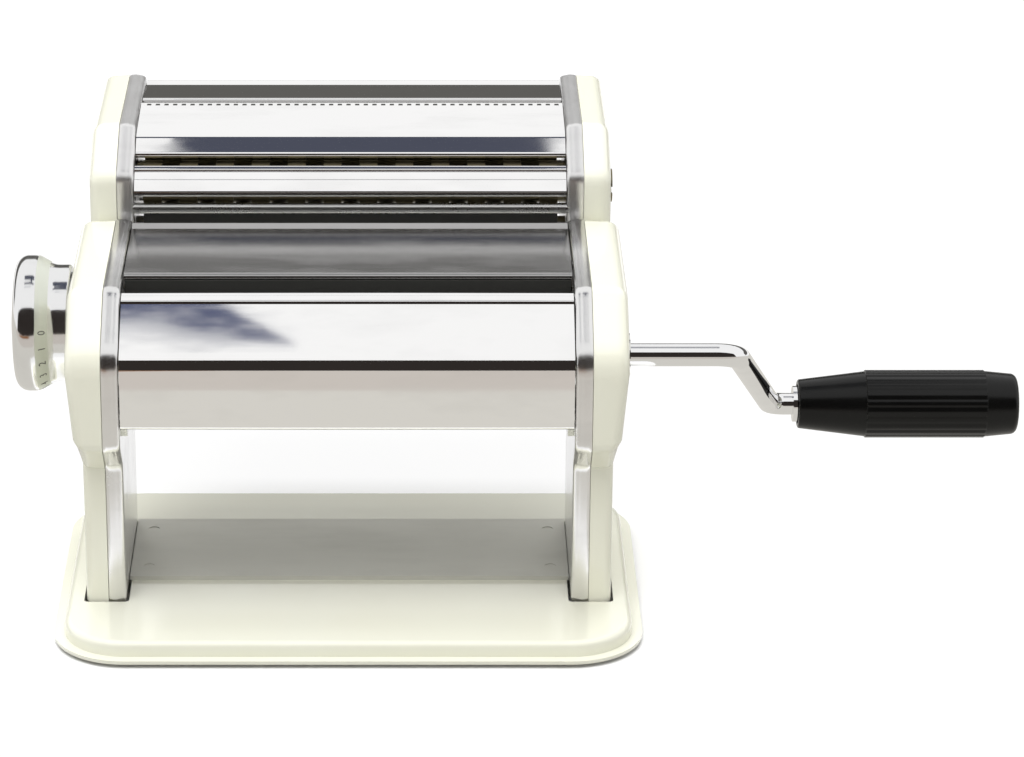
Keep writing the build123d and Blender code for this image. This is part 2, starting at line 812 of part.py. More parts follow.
# ---------------------------------------------------------------- crank
arm_end = (front_roller_y + crank_back, roller_height - crank_drop)
crank_start = collar_end - socket_depth + 1.0
first_corner = body_out + crank_out
second_corner = first_corner + crank_lean
grip_left = second_corner + grip_start
washer_thick = 1.5
shoulder_x = grip_left - 0.3
spindle_end = grip_left + grip_length * 0.86
with BuildPart() as crank_rod:
    with BuildLine() as crank_line:
        FilletPolyline(
            (crank_start, front_roller_y, roller_height), (first_corner, front_roller_y, roller_height),
            (second_corner, *arm_end), (shoulder_x, *arm_end),
            radius=(rod_bend, grip_start * 0.6),
        )
    with BuildSketch(Plane(origin=(crank_start, front_roller_y, roller_height),
                           x_dir=(0, 1, 0), z_dir=(1, 0, 0))):
        Circle(rod_radius)
    sweep(path=crank_line.line)
    add(turned(*arm_end, [(shoulder_x - 1.0, spindle_end, spindle_radius)]))
    with BuildSketch(Plane(origin=(dog_plane_x, front_roller_y - 10, roller_height),
                           x_dir=(1, 0, 0), z_dir=(0, 1, 0))):
        Circle(dog_radius)
    extrude(amount=20, mode=Mode.SUBTRACT)
keep(crank_rod.part, "crank_rod")

with BuildPart() as crank_pin:
    with BuildSketch(Plane(origin=(dog_plane_x, front_roller_y - dog_half, roller_height),
                           x_dir=(1, 0, 0), z_dir=(0, 1, 0))):
        Circle(dog_radius)
    extrude(amount=2 * dog_half)
keep(crank_pin.part, "crank_pin")

with BuildPart() as grip_washer:
    add(turned(*arm_end, [(shoulder_x - washer_thick, shoulder_x, 6.6)]))
    with BuildSketch(side_plane(shoulder_x - washer_thick)):
        with Locations(arm_end):
            Circle(rod_radius)
    extrude(amount=washer_thick, mode=Mode.SUBTRACT)
keep(grip_washer.part, "grip_washer")

clip_x = spindle_end - 5.0
with BuildPart() as grip_retainer:
    add(turned(*arm_end, [(clip_x, clip_x + 2.0, spindle_radius + 1.8)]))
    with BuildSketch(side_plane(clip_x)):
        with Locations(arm_end):
            Circle(spindle_radius)
    extrude(amount=2.0, mode=Mode.SUBTRACT)
keep(grip_retainer.part, "grip_retainer")

flute_start = grip_left + 24.5
flute_end = grip_left + 68.4
flute_depth = 0.45
with BuildPart() as grip:
    with BuildSketch(axle_plane(*arm_end)):
        with BuildLine():
            Polyline(
                (grip_left, 0), (grip_left, 8.4), (grip_left + 0.6, 9.0), (flute_start, grip_radius - 0.1),
                (flute_start + 0.5, grip_radius), (flute_end - 0.5, grip_radius),
                (flute_end, grip_radius - 0.1), (grip_left + grip_length - 1.6, 11.0),
                (grip_left + grip_length - 0.5, 10.2), (grip_left + grip_length, 8.6),
                (grip_left + grip_length, 0), close=True,
            )
        make_face()
    revolve(axis=Axis((0, *arm_end), (1, 0, 0)))
    with BuildSketch(side_plane(flute_start)):
        with Locations(arm_end):
            with PolarLocations(grip_radius + 0.1, flute_count):
                RegularPolygon(flute_depth * 1.4, 3, rotation=180)
    extrude(amount=flute_end - flute_start, mode=Mode.SUBTRACT)
    with BuildSketch(side_plane(grip_left)):
        with Locations(arm_end):
            Circle(spindle_radius + 2 * running)
    extrude(amount=spindle_end + 1.0 - grip_left, mode=Mode.SUBTRACT)
    with BuildSketch(side_plane(clip_x - 0.5)):
        with Locations(arm_end):
            Circle(spindle_radius + 2.1)
    extrude(amount=3.0, mode=Mode.SUBTRACT)
keep(grip.part, "grip")

# ---------------------------------------------------------------- hanger of the attachment
with BuildPart() as hanger_brackets:
    for start in (inner - hanger_plate, -inner):
        with BuildSketch(side_plane(start)):
            with Locations(bracket_end):
                Circle(screw_head_radius + 1.6)
            with Locations(hanger):
                Circle(hanger_radius + 2.4)
            make_hull()
            with Locations(hanger):
                Circle(hanger_radius, mode=Mode.SUBTRACT)
            with Locations(bracket_end):
                Circle(screw_radius, mode=Mode.SUBTRACT)
        extrude(amount=hanger_plate)
keep(hanger_brackets.part, "hanger_brackets")

with BuildPart() as hanger_bar:
    add(turned(*hanger, [(-web_out + slack, web_out - slack, hanger_radius)]))
keep(hanger_bar.part, "hanger_bar")

# ---------------------------------------------------------------- attachment: side plates and caps
driven_pairs = [(wide_front_y, wide_z), (fine_rear_y, fine_z)]
plain_pairs = [(wide_rear_y, wide_z), (fine_front_y, fine_z)]
cutter_bush_wall = 1.9
small_bush = cutter_journal + running + cutter_bush_wall
large_bush = socket_journal_radius + running + cutter_bush_wall


def cutter_plate(side):
    """A pressed side plate of the attachment, with a slot that drops over the hanger bar."""
    large = large_bush if side > 0 else small_bush
    with BuildPart() as plate:
        with BuildSketch(side_plane(inner)):
            with BuildLine():
                Polyline(*cutter_outline(), close=True)
            make_face()
        extrude(amount=rim_depth)
        fillet(plate.edges().filter_by(Axis.X), radius=3.0)
        with BuildSketch(side_plane(web_out)) as pocket:
            with BuildLine():
                Polyline(*cutter_outline(side_sheet), close=True)
            make_face()
            fillet(pocket.vertices(), radius=1.8)
        extrude(amount=rim_depth, mode=Mode.SUBTRACT)
        with BuildSketch(side_plane(inner)):
            with Locations(hanger):
                Circle(hanger_radius + slot_room)
            with Locations((hanger[0], (hanger[1] + cut_low) / 2 - 1)):
                Rectangle(2 * (hanger_radius + slot_room), hanger[1] - cut_low + 2)
            with Locations(*driven_pairs):
                Circle(large)
            with Locations(*plain_pairs):
                Circle(small_bush)
            with Locations(*[(y, z) for y, z, radius in cutter_rods]):
                Circle(rivet_radius)
        extrude(amount=rim_depth, mode=Mode.SUBTRACT)
    return plate.part if side > 0 else plate.part.mirror(Plane.YZ)


with BuildPart() as cutter_right_plate:
    add(cutter_plate(1))
keep(cutter_right_plate.part, "cutter_right_plate")

with BuildPart() as cutter_left_plate:
    add(cutter_plate(-1))
keep(cutter_left_plate.part, "cutter_left_plate")


def cutter_cap(side):
    """A painted end cap of the attachment; the crank side's has a hole for each socket."""
    with BuildPart() as cap:
        with BuildSketch(side_plane(rim_out)):
            with BuildLine():
                Polyline(*cutter_outline(), close=True)
            make_face()
        extrude(amount=cap_depth)
        fillet(cap.edges().filter_by(Axis.X), radius=3.0)
        chamfer(cap.faces().sort_by(Axis.X)[-1].outer_wire().edges(), length=2.0)
        with BuildSketch(side_plane(rim_out)) as hollow:
            with BuildLine():
                Polyline(*cutter_outline(cover_wall + 0.6), close=True)
            make_face()
            fillet(hollow.vertices(), radius=1.6)
        extrude(amount=cap_depth - cover_wall, mode=Mode.SUBTRACT)
        if side > 0:
            with BuildSketch(side_plane(cap_out - 2 * cover_wall)):
                with Locations(*driven_pairs):
                    Circle(socket_journal_radius + 0.8)
            extrude(amount=4 * cover_wall, mode=Mode.SUBTRACT)
    return cap.part if side > 0 else cap.part.mirror(Plane.YZ)


with BuildPart() as cutter_right_cap:
    add(cutter_cap(1))
keep(cutter_right_cap.part, "cutter_right_cap")

with BuildPart() as cutter_left_cap:
    add(cutter_cap(-1))
keep(cutter_left_cap.part, "cutter_left_cap")

# ---------------------------------------------------------------- attachment: sheets
with BuildPart() as cutter_front_plate:
    add(bent_sheet(
        [
            (cut_front + 2.1, roof + 6.5), (cut_front + 0.6, roof + 7.3), (cut_front + 0.6, roof + 10.3),
            (cut_front + 4.8, roof + 16.2), (cut_front + 6.6, roof + 15.7),
        ],
        0.7, panel_sheet, panel_half,
    ))
keep(cutter_front_plate.part, "cutter_front_plate")

with BuildPart() as cutter_middle_plate:
    add(bent_sheet(
        [
            (cut_front + 15.6, roof + 16.4), (cut_front + 13.0, roof + 19.0), (cut_front + 20.4, roof + 24.0),
            (cut_front + 53.0, roof + 26.6), (cut_front + 53.8, roof + 22.0),
        ],
        0.9, panel_sheet, panel_half,
    ))
keep(cutter_middle_plate.part, "cutter_middle_plate")

with BuildPart() as cutter_rear_plate:
    add(bent_sheet(
        [
            (cut_front + 60.6, roof + 22.0), (cut_front + 61.0, roof + 26.6), (cut_rear - 1.4, roof + 24.8),
            (cut_rear - 1.4, roof - 6.0), (cut_rear - 5.0, roof - 6.0),
        ],
        0.9, panel_sheet, panel_half,
    ))
keep(cutter_rear_plate.part, "cutter_rear_plate")

with BuildPart() as cutter_tie_rods:
    y, z, radius = cutter_rods[0]
    add(turned(y, z, [
        (-web_out, -inner, rivet_radius), (-inner, inner, radius), (inner, web_out, rivet_radius),
    ]))
    for y, z, radius in cutter_rods[1:]:
        add(turned(y, z, [(-inner, inner, radius)]))
        for side in (-1, 1):
            with BuildSketch(end_plane(side * inner, y, z, side)):
                Circle(rivet_radius)
            extrude(amount=-screw_bite, mode=Mode.SUBTRACT)
keep(cutter_tie_rods.part, "cutter_tie_rods")

with BuildPart() as cutter_rod_screws:
    for y, z, radius in cutter_rods[1:]:
        for side in (-1, 1):
            with BuildSketch(end_plane(side * web_out, y, z, side)):
                RegularPolygon(rivet_radius + 1.5, 6)
            extrude(amount=1.8)
            with BuildSketch(end_plane(side * web_out, y, z, side)):
                Circle(rivet_radius)
            extrude(amount=-side_sheet - screw_bite + 1.0)
keep(cutter_rod_screws.part, "cutter_rod_screws")


def cutter_bush(side, place, bore):
    """A plain bush in the attachment's side plate."""
    with BuildPart() as sleeve:
        with BuildSketch(side_plane(inner)):
            with Locations(place):
                Circle(bore + cutter_bush_wall)
                Circle(bore, mode=Mode.SUBTRACT)
        extrude(amount=cutter_bush_end - inner)
    return sleeve.part if side > 0 else sleeve.part.mirror(Plane.YZ)


with BuildPart() as cutter_bushes:
    for place in driven_pairs:
        add(cutter_bush(1, place, socket_journal_radius + running))
        add(cutter_bush(-1, place, cutter_journal + running))
    for place in plain_pairs:
        for side in (-1, 1):
            add(cutter_bush(side, place, cutter_journal + running))
keep(cutter_bushes.part, "cutter_bushes")

# ---------------------------------------------------------------- attachment: cutters
cut_half = roller_length / 2 - 0.2
disc_pitch = 2 * strip_width
disc_width = strip_width - 0.1
disc_count = int((2 * cut_half - disc_width) / disc_pitch) + 1
core_radius = cutter_radius - groove_depth
cutter_socket_depth = 20.0


def cutter_core(y, z, driven, body_radius):
    """A cutter's shaft; a driven one ends in a crank socket that stands out of the right cap."""
    steps = [
        (-cutter_gear_start - cutter_gear_width - 0.4, -roller_length / 2, cutter_journal),
        (-roller_length / 2, roller_length / 2, body_radius),
    ]
    if driven:
        steps.append((roller_length / 2, cutter_collar_end, socket_journal_radius))
    else:
        steps.append((roller_length / 2, cutter_bush_end + 0.6, cutter_journal))
    with BuildPart() as shaft:
        add(turned(y, z, steps))
        if driven:
            with BuildSketch(side_plane(cutter_collar_end - cutter_socket_depth)):
                with Locations((y, z)):
                    Circle(socket_radius)
            extrude(amount=cutter_socket_depth, mode=Mode.SUBTRACT)
            with BuildSketch(side_plane(cutter_collar_end - dog_back - dog_slot / 2)):
                with Locations((y, z)):
                    Rectangle(2 * socket_journal_radius + 1, dog_slot)
            extrude(amount=dog_back + dog_slot, mode=Mode.SUBTRACT)
    return shaft.part


def wide_cutter(y, z, driven, places):
    """A shaft with a row of cutting discs at the given places along X."""
    with BuildPart() as cutter:
        add(cutter_core(y, z, driven, core_radius))
        for x in places:
            with BuildSketch(side_plane(x - disc_width / 2)):
                with Locations((y, z)):
                    Circle(cutter_radius)
            extrude(amount=disc_width)
    return cutter.part


front_places = [(i - (disc_count - 1) / 2) * disc_pitch for i in range(disc_count)]
rear_places = [x + strip_width for x in front_places[:-1]]

with BuildPart() as wide_cutter_front:
    add(wide_cutter(wide_front_y, wide_z, True, front_places))
keep(wide_cutter_front.part, "wide_cutter_front")

with BuildPart() as wide_cutter_rear:
    add(wide_cutter(wide_rear_y, wide_z, False, rear_places))
keep(wide_cutter_rear.part, "wide_cutter_rear")

# The fine cutters' grooves are left to the finish, so these are their plain blanks.
fine_radius = cutter_apart / 2 - 0.1
with BuildPart() as fine_cutter_front:
    add(cutter_core(fine_front_y, fine_z, False, fine_radius))
keep(fine_cutter_front.part, "fine_cutter_front")

with BuildPart() as fine_cutter_rear:
    add(cutter_core(fine_rear_y, fine_z, True, fine_radius))
keep(fine_cutter_rear.part, "fine_cutter_rear")

cutter_gear_shape = (
    cutter_gear_width, cutter_gear_teeth, cutter_gear_tip, cutter_gear_root, 0.8, 2.2, cutter_journal,
)
cutter_gear_x = -cutter_gear_start - cutter_gear_width
half_tooth = 180 / cutter_gear_teeth

with BuildPart() as wide_gear_front:
    add(gear(wide_front_y, wide_z, cutter_gear_x, *cutter_gear_shape, 0.0))
keep(wide_gear_front.part, "wide_gear_front")

with BuildPart() as wide_gear_rear:
    add(gear(wide_rear_y, wide_z, cutter_gear_x, *cutter_gear_shape, half_tooth))
keep(wide_gear_rear.part, "wide_gear_rear")

with BuildPart() as fine_gear_front:
    add(gear(fine_front_y, fine_z, cutter_gear_x, *cutter_gear_shape, 0.0))
keep(fine_gear_front.part, "fine_gear_front")

with BuildPart() as fine_gear_rear:
    add(gear(fine_rear_y, fine_z, cutter_gear_x, *cutter_gear_shape, half_tooth))
keep(fine_gear_rear.part, "fine_gear_rear")

# ---------------------------------------------------------------- attachment: strippers
finger_width = strip_width - 0.9
finger_rise = core_radius + 0.5
comb_low = wide_z - cutter_radius - 3.4


def finger_line(axis_y, direction):
    """A stripping finger's centre line from its groove down to the strip; direction is 1 or -1."""
    return [
        (axis_y + direction * (finger_rise + 0.3) * 0.42, wide_z - (finger_rise + 0.3) * 0.91),
        (axis_y - direction * 2.0, comb_low),
    ]


with BuildPart() as wide_comb:
    for axis_y, direction, places in (
        (wide_front_y, 1, rear_places),
        (wide_rear_y, -1, front_places[1:-1]),
    ):
        tip, root = finger_line(axis_y, direction)
        with BuildSketch(side_plane(-panel_half)):
            with BuildLine():
                Line(root, (axis_y - direction * 6.0, comb_low - 0.9))
            trace(line_width=panel_sheet)
        extrude(amount=2 * panel_half)
        for x in places:
            with BuildSketch(side_plane(x - finger_width / 2)):
                with BuildLine():
                    Line(tip, root)
                trace(line_width=panel_sheet)
            extrude(amount=finger_width)
keep(wide_comb.part, "wide_comb")

fine_edge = fine_radius + 0.7
with BuildPart() as fine_comb:
    for axis_y, direction in ((fine_front_y, 1), (fine_rear_y, -1)):
        with BuildSketch(side_plane(-panel_half)):
            with BuildLine():
                Line(
                    (axis_y + direction * fine_edge * 0.42, fine_z - fine_edge * 0.91),
                    (axis_y - direction * 4.0, fine_z - fine_edge - 4.6),
                )
            trace(line_width=panel_sheet)
        extrude(amount=2 * panel_half)
keep(fine_comb.part, "fine_comb")
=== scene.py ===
"""The looks of a hand-cranked pasta roller with a two-way strip cutter behind it.

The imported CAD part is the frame. Mirror-bright sheets, pressed side plates, moulded covers, the knob,
the crank and its grip are worked out here as finer surfaces; the rest of the CAD pieces keep their
shape and get a finish. Lengths are in millimetres until a mesh is made; X runs along the rollers
(knob at -X, crank at +X), -Y is the front and +Z is up.
"""

import logging
import math
from dataclasses import dataclass
from enum import Enum
from typing import Any, Optional, Sequence

import bmesh
import bpy
import numpy as np
from mathutils import Matrix

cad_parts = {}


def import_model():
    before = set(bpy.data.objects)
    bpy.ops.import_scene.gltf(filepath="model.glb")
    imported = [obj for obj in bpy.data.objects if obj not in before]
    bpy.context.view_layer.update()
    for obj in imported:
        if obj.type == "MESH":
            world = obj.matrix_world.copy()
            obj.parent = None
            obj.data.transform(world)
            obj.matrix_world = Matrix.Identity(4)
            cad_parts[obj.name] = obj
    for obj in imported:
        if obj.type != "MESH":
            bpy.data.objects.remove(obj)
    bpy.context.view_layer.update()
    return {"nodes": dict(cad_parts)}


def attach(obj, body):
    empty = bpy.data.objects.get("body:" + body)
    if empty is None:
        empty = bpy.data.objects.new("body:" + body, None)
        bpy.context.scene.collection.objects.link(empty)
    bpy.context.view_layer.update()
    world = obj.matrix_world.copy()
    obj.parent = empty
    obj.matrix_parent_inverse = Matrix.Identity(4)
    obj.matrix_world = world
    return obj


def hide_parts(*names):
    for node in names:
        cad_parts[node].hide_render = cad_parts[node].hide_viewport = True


MM = 0.001
LOG = logging.getLogger("pasta_roller")

Points = np.ndarray
Colour = tuple[float, float, float]
Triple = tuple[float, float, float]


# ---------------------------------------------------------------- shader writing
class Signal:
    """A socket's value that can be used in sums and products."""

    def __init__(self, graph: "Graph", socket: bpy.types.NodeSocket) -> None:
        """Keep the graph the socket belongs to and the socket itself."""
        self.graph = graph
        self.socket = socket

    def _math(self, operation: str, first: Any, second: Any = None, clamp: bool = False) -> "Signal":
        """Add one Math node.

        Args:
            operation: the Math node's operation.
            first: a signal or a number.
            second: a signal or a number, if the operation takes two.
            clamp: whether the result is held between 0 and 1.

        Returns:
            The node's result.
        """
        values = {0: first} if second is None else {0: first, 1: second}
        return self.graph.add("ShaderNodeMath", {"operation": operation, "use_clamp": clamp}, values)[0]

    def __add__(self, other: Any) -> "Signal":
        """This plus other."""
        return self._math("ADD", self, other)

    def __radd__(self, other: Any) -> "Signal":
        """Other plus this."""
        return self._math("ADD", other, self)

    def __sub__(self, other: Any) -> "Signal":
        """This minus other."""
        return self._math("SUBTRACT", self, other)

    def __rsub__(self, other: Any) -> "Signal":
        """Other minus this."""
        return self._math("SUBTRACT", other, self)

    def __mul__(self, other: Any) -> "Signal":
        """This times other."""
        return self._math("MULTIPLY", self, other)

    def __rmul__(self, other: Any) -> "Signal":
        """Other times this."""
        return self._math("MULTIPLY", other, self)

    def __abs__(self) -> "Signal":
        """This without its sign."""
        return self._math("ABSOLUTE", self)

    def larger(self, other: Any) -> "Signal":
        """The larger of this and other."""
        return self._math("MAXIMUM", self, other)

    def clamped(self) -> "Signal":
        """This, held between 0 and 1."""
        return self._math("ADD", self, 0.0, clamp=True)

    def above(self, edge: float, softness: float) -> "Signal":
        """A smooth step: 0 below the edge, 1 above it, softness wide."""
        return self._math("MULTIPLY", self - (edge - softness / 2), 1.0 / softness, clamp=True)


class Graph:
    """The node graph of one material or of the world."""

    def __init__(self, tree: bpy.types.NodeTree) -> None:
        """Empty the tree and start a new graph in it."""
        tree.nodes.clear()
        self.tree = tree

    def add(self, kind: str, settings: Optional[dict] = None, values: Optional[dict] = None) -> list[Signal]:
        """Add a node.

        Args:
            kind: the node's type.
            settings: its properties, set before its sockets; "stops" fills a colour ramp.
            values: a value or a signal for each input, by name or index.

        Returns:
            The node's outputs as signals.
        """
        node = self.tree.nodes.new(kind)
        for name, value in (settings or {}).items():
            if name == "stops":
                ramp = node.color_ramp
                while len(ramp.elements) < len(value):
                    ramp.elements.new(0.5)
                for element, (place, colour) in zip(ramp.elements, value):
                    element.position = place
                    element.color = (*colour, 1.0)
            else:
                setattr(node, name, value)
        for name, value in (values or {}).items():
            socket = node.inputs[name]
            if isinstance(value, Signal):
                self.tree.links.new(value.socket, socket)
            elif isinstance(value, tuple) and len(value) == 3 and socket.type == "RGBA":
                socket.default_value = (*value, 1.0)
            else:
                socket.default_value = value
        return [Signal(self, output) for output in node.outputs if output.enabled]

    def place(self, stretch: Triple = (1.0, 1.0, 1.0)) -> Signal:
        """Object coordinates in metres, scaled along each axis."""
        spot = self.add("ShaderNodeTexCoord")[3]
        return self.add("ShaderNodeMapping", None, {"Vector": spot, "Scale": stretch})[0]

    def clear_of(self, half_x: float, half_y: float) -> Signal:
        """How far a place lies outside a rectangle about the origin: the larger of |x| - half_x and |y| - half_y."""
        x, y, _ = self.add("ShaderNodeSeparateXYZ", None, {0: self.place()})
        return (abs(x) - half_x).larger(abs(y) - half_y)

    def noise(self, spot: Signal, scale: float, detail: float = 2.0, rough: float = 0.5) -> Signal:
        """Noise from 0 to 1 at the given place; scale is in features per metre."""
        values = {"Vector": spot, "Scale": scale, "Detail": detail, "Roughness": rough}
        return self.add("ShaderNodeTexNoise", None, values)[0]

    def mix(self, factor: Any, first: Any, second: Any) -> Signal:
        """A colour between first and second."""
        colours = {0: factor, 6: first, 7: second}
        return self.add("ShaderNodeMix", {"data_type": "RGBA"}, colours)[0]

    def bump(self, height: Signal, strength: float, distance: float, under: Optional[Signal] = None) -> Signal:
        """A bumped normal; under is a normal that it adds to."""
        values = {"Height": height, "Strength": strength, "Distance": distance}
        if under is not None:
            values["Normal"] = under
        return self.add("ShaderNodeBump", None, values)[0]

    def surface(self, **values: Any) -> None:
        """Finish a material with one Principled shader; underscores in names stand for spaces."""
        named = {name.replace("_", " "): value for name, value in values.items()}
        shader = self.add("ShaderNodeBsdfPrincipled", None, named)[0]
        self.add("ShaderNodeOutputMaterial", None, {"Surface": shader})


# ---------------------------------------------------------------- finishes
@dataclass(frozen=True)
class Finish:
    """A finish: its name, its main colour and how rough it is."""

    name: str
    colour: Colour
    roughness: float

    def dress(self, graph: Graph) -> None:
        """Write the finish's nodes."""
        graph.surface(Base_Color=self.colour, Roughness=self.roughness)

    def material(self) -> bpy.types.Material:
        """The material of this finish, made at its first use."""
        made = bpy.data.materials.get("finish_" + self.name)
        if made is None:
            made = bpy.data.materials.new("finish_" + self.name)
            made.use_nodes = True
            self.dress(Graph(made.node_tree))
        return made


@dataclass(frozen=True)
class Enamel(Finish):
    """Sprayed gloss paint: faint orange peel, and slightly warmer, duller patches."""

    peel: float = 0.10

    def dress(self, graph: Graph) -> None:
        """Write the paint's nodes."""
        spot = graph.place()
        patches = graph.noise(spot, 18.0, 3.0)
        peel = graph.noise(spot, 700.0, 1.0)
        warm = (self.colour[0] * 0.985, self.colour[1] * 0.97, self.colour[2] * 0.93)
        graph.surface(
            Base_Color=graph.mix(patches.above(0.5, 0.5) * 0.6, self.colour, warm),
            Roughness=patches * 0.06 + (self.roughness - 0.03),
            Coat_Weight=0.5,
            Coat_Roughness=0.06,
            Normal=graph.bump(peel, self.peel, 0.00004),
        )


@dataclass(frozen=True)
class BrightSteel(Finish):
    """Polished or satin steel: drawn lines along one axis, a slow wave, and a few wiped smears.

    grain is how fast the lines change along X, Y and Z.
    """

    grain: Triple = (1.0, 60.0, 60.0)
    lines: float = 0.04
    wave: float = 0.0
    smear: float = 0.05
    metal: float = 1.0

    def dress(self, graph: Graph) -> None:
        """Write the steel's nodes."""
        spot = graph.place()
        drawn = graph.noise(graph.place(self.grain), 40.0, 4.0, 0.65)
        smears = graph.noise(graph.place((1.0, 3.0, 3.0)), 22.0, 3.0, 0.6).above(0.58, 0.2)
        dull = tuple(c * 0.93 for c in self.colour)
        normal = graph.bump(drawn, self.lines, 0.00002)
        if self.wave:
            normal = graph.bump(graph.noise(spot, 14.0, 1.0), self.wave, 0.0016, normal)
        graph.surface(
            Base_Color=graph.mix(smears * 0.7, self.colour, dull),
            Metallic=self.metal,
            Roughness=drawn * (self.roughness * 0.5) + smears * self.smear + self.roughness * 0.72,
            Normal=normal,
        )


@dataclass(frozen=True)
class CastMetal(Finish):
    """Cast or sintered metal: grainy, uneven in tone, a little rough."""

    metal: float = 0.85

    def dress(self, graph: Graph) -> None:
        """Write the casting's nodes."""
        spot = graph.place()
        grain = graph.noise(spot, 1500.0, 2.0)
        tone = graph.noise(spot, 90.0, 4.0, 0.6)
        dark = tuple(c * 0.7 for c in self.colour)
        graph.surface(
            Base_Color=graph.mix(tone.above(0.5, 0.6), self.colour, dark),
            Metallic=self.metal,
            Roughness=tone * 0.2 + self.roughness,
            Normal=graph.bump(grain, 0.25, 0.00003),
        )


@dataclass(frozen=True)
class Moulding(Finish):
    """Moulded plastic or rubber: fine tooling grain under a soft shine."""

    grain: float = 0.15
    shine: float = 0.3
    index: float = 1.5

    def dress(self, graph: Graph) -> None:
        """Write the moulding's nodes."""
        spot = graph.place()
        fine = graph.noise(spot, 2200.0, 2.0)
        worn = graph.noise(spot, 45.0, 4.0, 0.6)
        lighter = tuple(c * 1.6 + 0.0008 for c in self.colour)
        graph.surface(
            Base_Color=graph.mix(worn.above(0.55, 0.3) * 0.6, self.colour, lighter),
            Roughness=worn * 0.12 + self.roughness,
            Coat_Weight=self.shine,
            Coat_Roughness=0.12,
            IOR=self.index,
            Normal=graph.bump(fine, self.grain, 0.00003),
        )


ALONG = (1.0, 60.0, 60.0)
AROUND = (60.0, 1.0, 1.0)
CREAM = Enamel("cream_enamel", (0.83, 0.83, 0.715), 0.16)
MIRROR = BrightSteel("mirror_sheet", (0.92, 0.915, 0.91), 0.035, ALONG, 0.012, 0.018, 0.04)
TOP_SHEET = BrightSteel("satin_top_sheet", (0.42, 0.415, 0.41), 0.13, ALONG, 0.02, 0.02, 0.05)
RIM_STEEL = BrightSteel("pressed_rim_steel", (0.82, 0.815, 0.81), 0.23, (12.0, 12.0, 12.0), 0.02, 0.04, 0.04)
CUTTER_RIM = BrightSteel("cutter_rim_steel", (0.86, 0.855, 0.85), 0.40, (12.0, 12.0, 12.0), 0.04, 0.08, 0.06)
ROLLER = BrightSteel("ground_roller_steel", (0.74, 0.735, 0.71), 0.12, AROUND, 0.015)
KNOB_CHROME = BrightSteel("worn_knob_chrome", (0.82, 0.82, 0.82), 0.11, (8.0, 8.0, 8.0), 0.04, 0.14, 0.08)
CHROME = BrightSteel("bright_chrome", (0.86, 0.86, 0.865), 0.035, (8.0, 8.0, 8.0), 0.01, 0.0, 0.03)
SATIN_BAND = BrightSteel("satin_dial_band", (0.66, 0.68, 0.60), 0.34, AROUND, 0.05, 0.0, 0.05, 0.6)
PLATE_GREY = BrightSteel("grey_cross_plate", (0.66, 0.655, 0.59), 0.42, ALONG, 0.05, 0.0, 0.05, 0.3)
# Near-black steel: on the sheets under the mouth, beside the rear panel and behind the cutters' front sheet it is
# painted shade; the comb tabs wear it too.
SHADE_AND_COMB_STEEL = BrightSteel("dark_apron_steel", (0.06, 0.06, 0.055), 0.45, ALONG, 0.05, 0.0, 0.05, 0.5)
ZINC = BrightSteel("zinc_plate", (0.62, 0.62, 0.61), 0.28, (12.0, 12.0, 12.0), 0.08)
# Dark grey steel for the scrapers and combs: partly the steel's own colour, partly painted shade for where they sit
# inside the machine.
SCRAPER = BrightSteel("scraper_strip", (0.30, 0.30, 0.29), 0.30, ALONG, 0.06)
GEAR = CastMetal("gear_steel", (0.33, 0.33, 0.34), 0.36)
DIECAST = CastMetal("diecast_zinc", (0.42, 0.42, 0.43), 0.42)
BRONZE = CastMetal("bush_bronze", (0.50, 0.33, 0.15), 0.34)
CUTTER = CastMetal("cutter_alloy", (0.24, 0.205, 0.12), 0.26)
SPRING = BrightSteel("spring_wire", (0.40, 0.40, 0.41), 0.3, (30.0, 30.0, 30.0), 0.05)
GRIP = Moulding("black_grip", (0.0025, 0.0025, 0.0024), 0.17, 0.05, 0.0, 1.34)
PAD = Moulding("foot_rubber", (0.022, 0.022, 0.021), 0.62, 0.35, 0.0)
INK = Moulding("dial_ink", (0.10, 0.10, 0.09), 0.45, 0.1, 0.0)

NODE_FINISHES: dict[str, Finish] = {
    "base_plate": CREAM, "cross_plate": PLATE_GREY, "rubber_feet": PAD,
    "rear_panel": MIRROR, "front_roller": ROLLER, "rear_roller": ROLLER, "crank_pin": CHROME,
    "tie_rods": ZINC, "tie_rod_screws": ZINC, "base_screws": PLATE_GREY, "cover_screws": ZINC,
    "index_plate": ZINC, "hanger_brackets": ZINC, "hanger_bar": ZINC, "knob_screw": ZINC, "link_rod": ZINC,
    "grip_washer": CHROME, "grip_retainer": ZINC, "cutter_tie_rods": ZINC, "cutter_rod_screws": ZINC,
    "drive_gear": GEAR, "driven_gear": GEAR, "wide_gear_front": GEAR, "wide_gear_rear": GEAR,
    "fine_gear_front": GEAR, "fine_gear_rear": GEAR, "front_scraper": SCRAPER, "rear_scraper": SCRAPER,
    "wide_comb": SCRAPER, "fine_comb": SCRAPER, "left_eccentric": DIECAST, "right_eccentric": DIECAST,
    "roller_bushes": BRONZE, "adjuster_bushes": BRONZE, "cutter_bushes": BRONZE,
    "knob_spring": SPRING, "wide_cutter_front": CUTTER, "wide_cutter_rear": CUTTER,
}


# ---------------------------------------------------------------- surface writing
def grid_faces(rows: int, columns: int, wrap: bool, repeat: int = 0) -> list[list[int]]:
    """The four-sided faces between neighbouring rows of a grid.

    Args:
        rows: how many rows of points.
        columns: how many points in a row.
        wrap: whether each row closes on itself.
        repeat: the count after which rows start again, where the last row is the first; 0 for none.

    Returns:
        Each face as four indices, row by row.
    """
    i = np.arange(rows - 1)[:, None]
    up = (i + 1) % repeat if repeat else i + 1
    j = np.arange(columns if wrap else columns - 1)[None, :]
    after = (j + 1) % columns
    corners = [i * columns + j, i * columns + after, up * columns + after, up * columns + j]
    return np.stack([c + 0 * j for c in corners], -1).reshape(-1, 4).tolist()


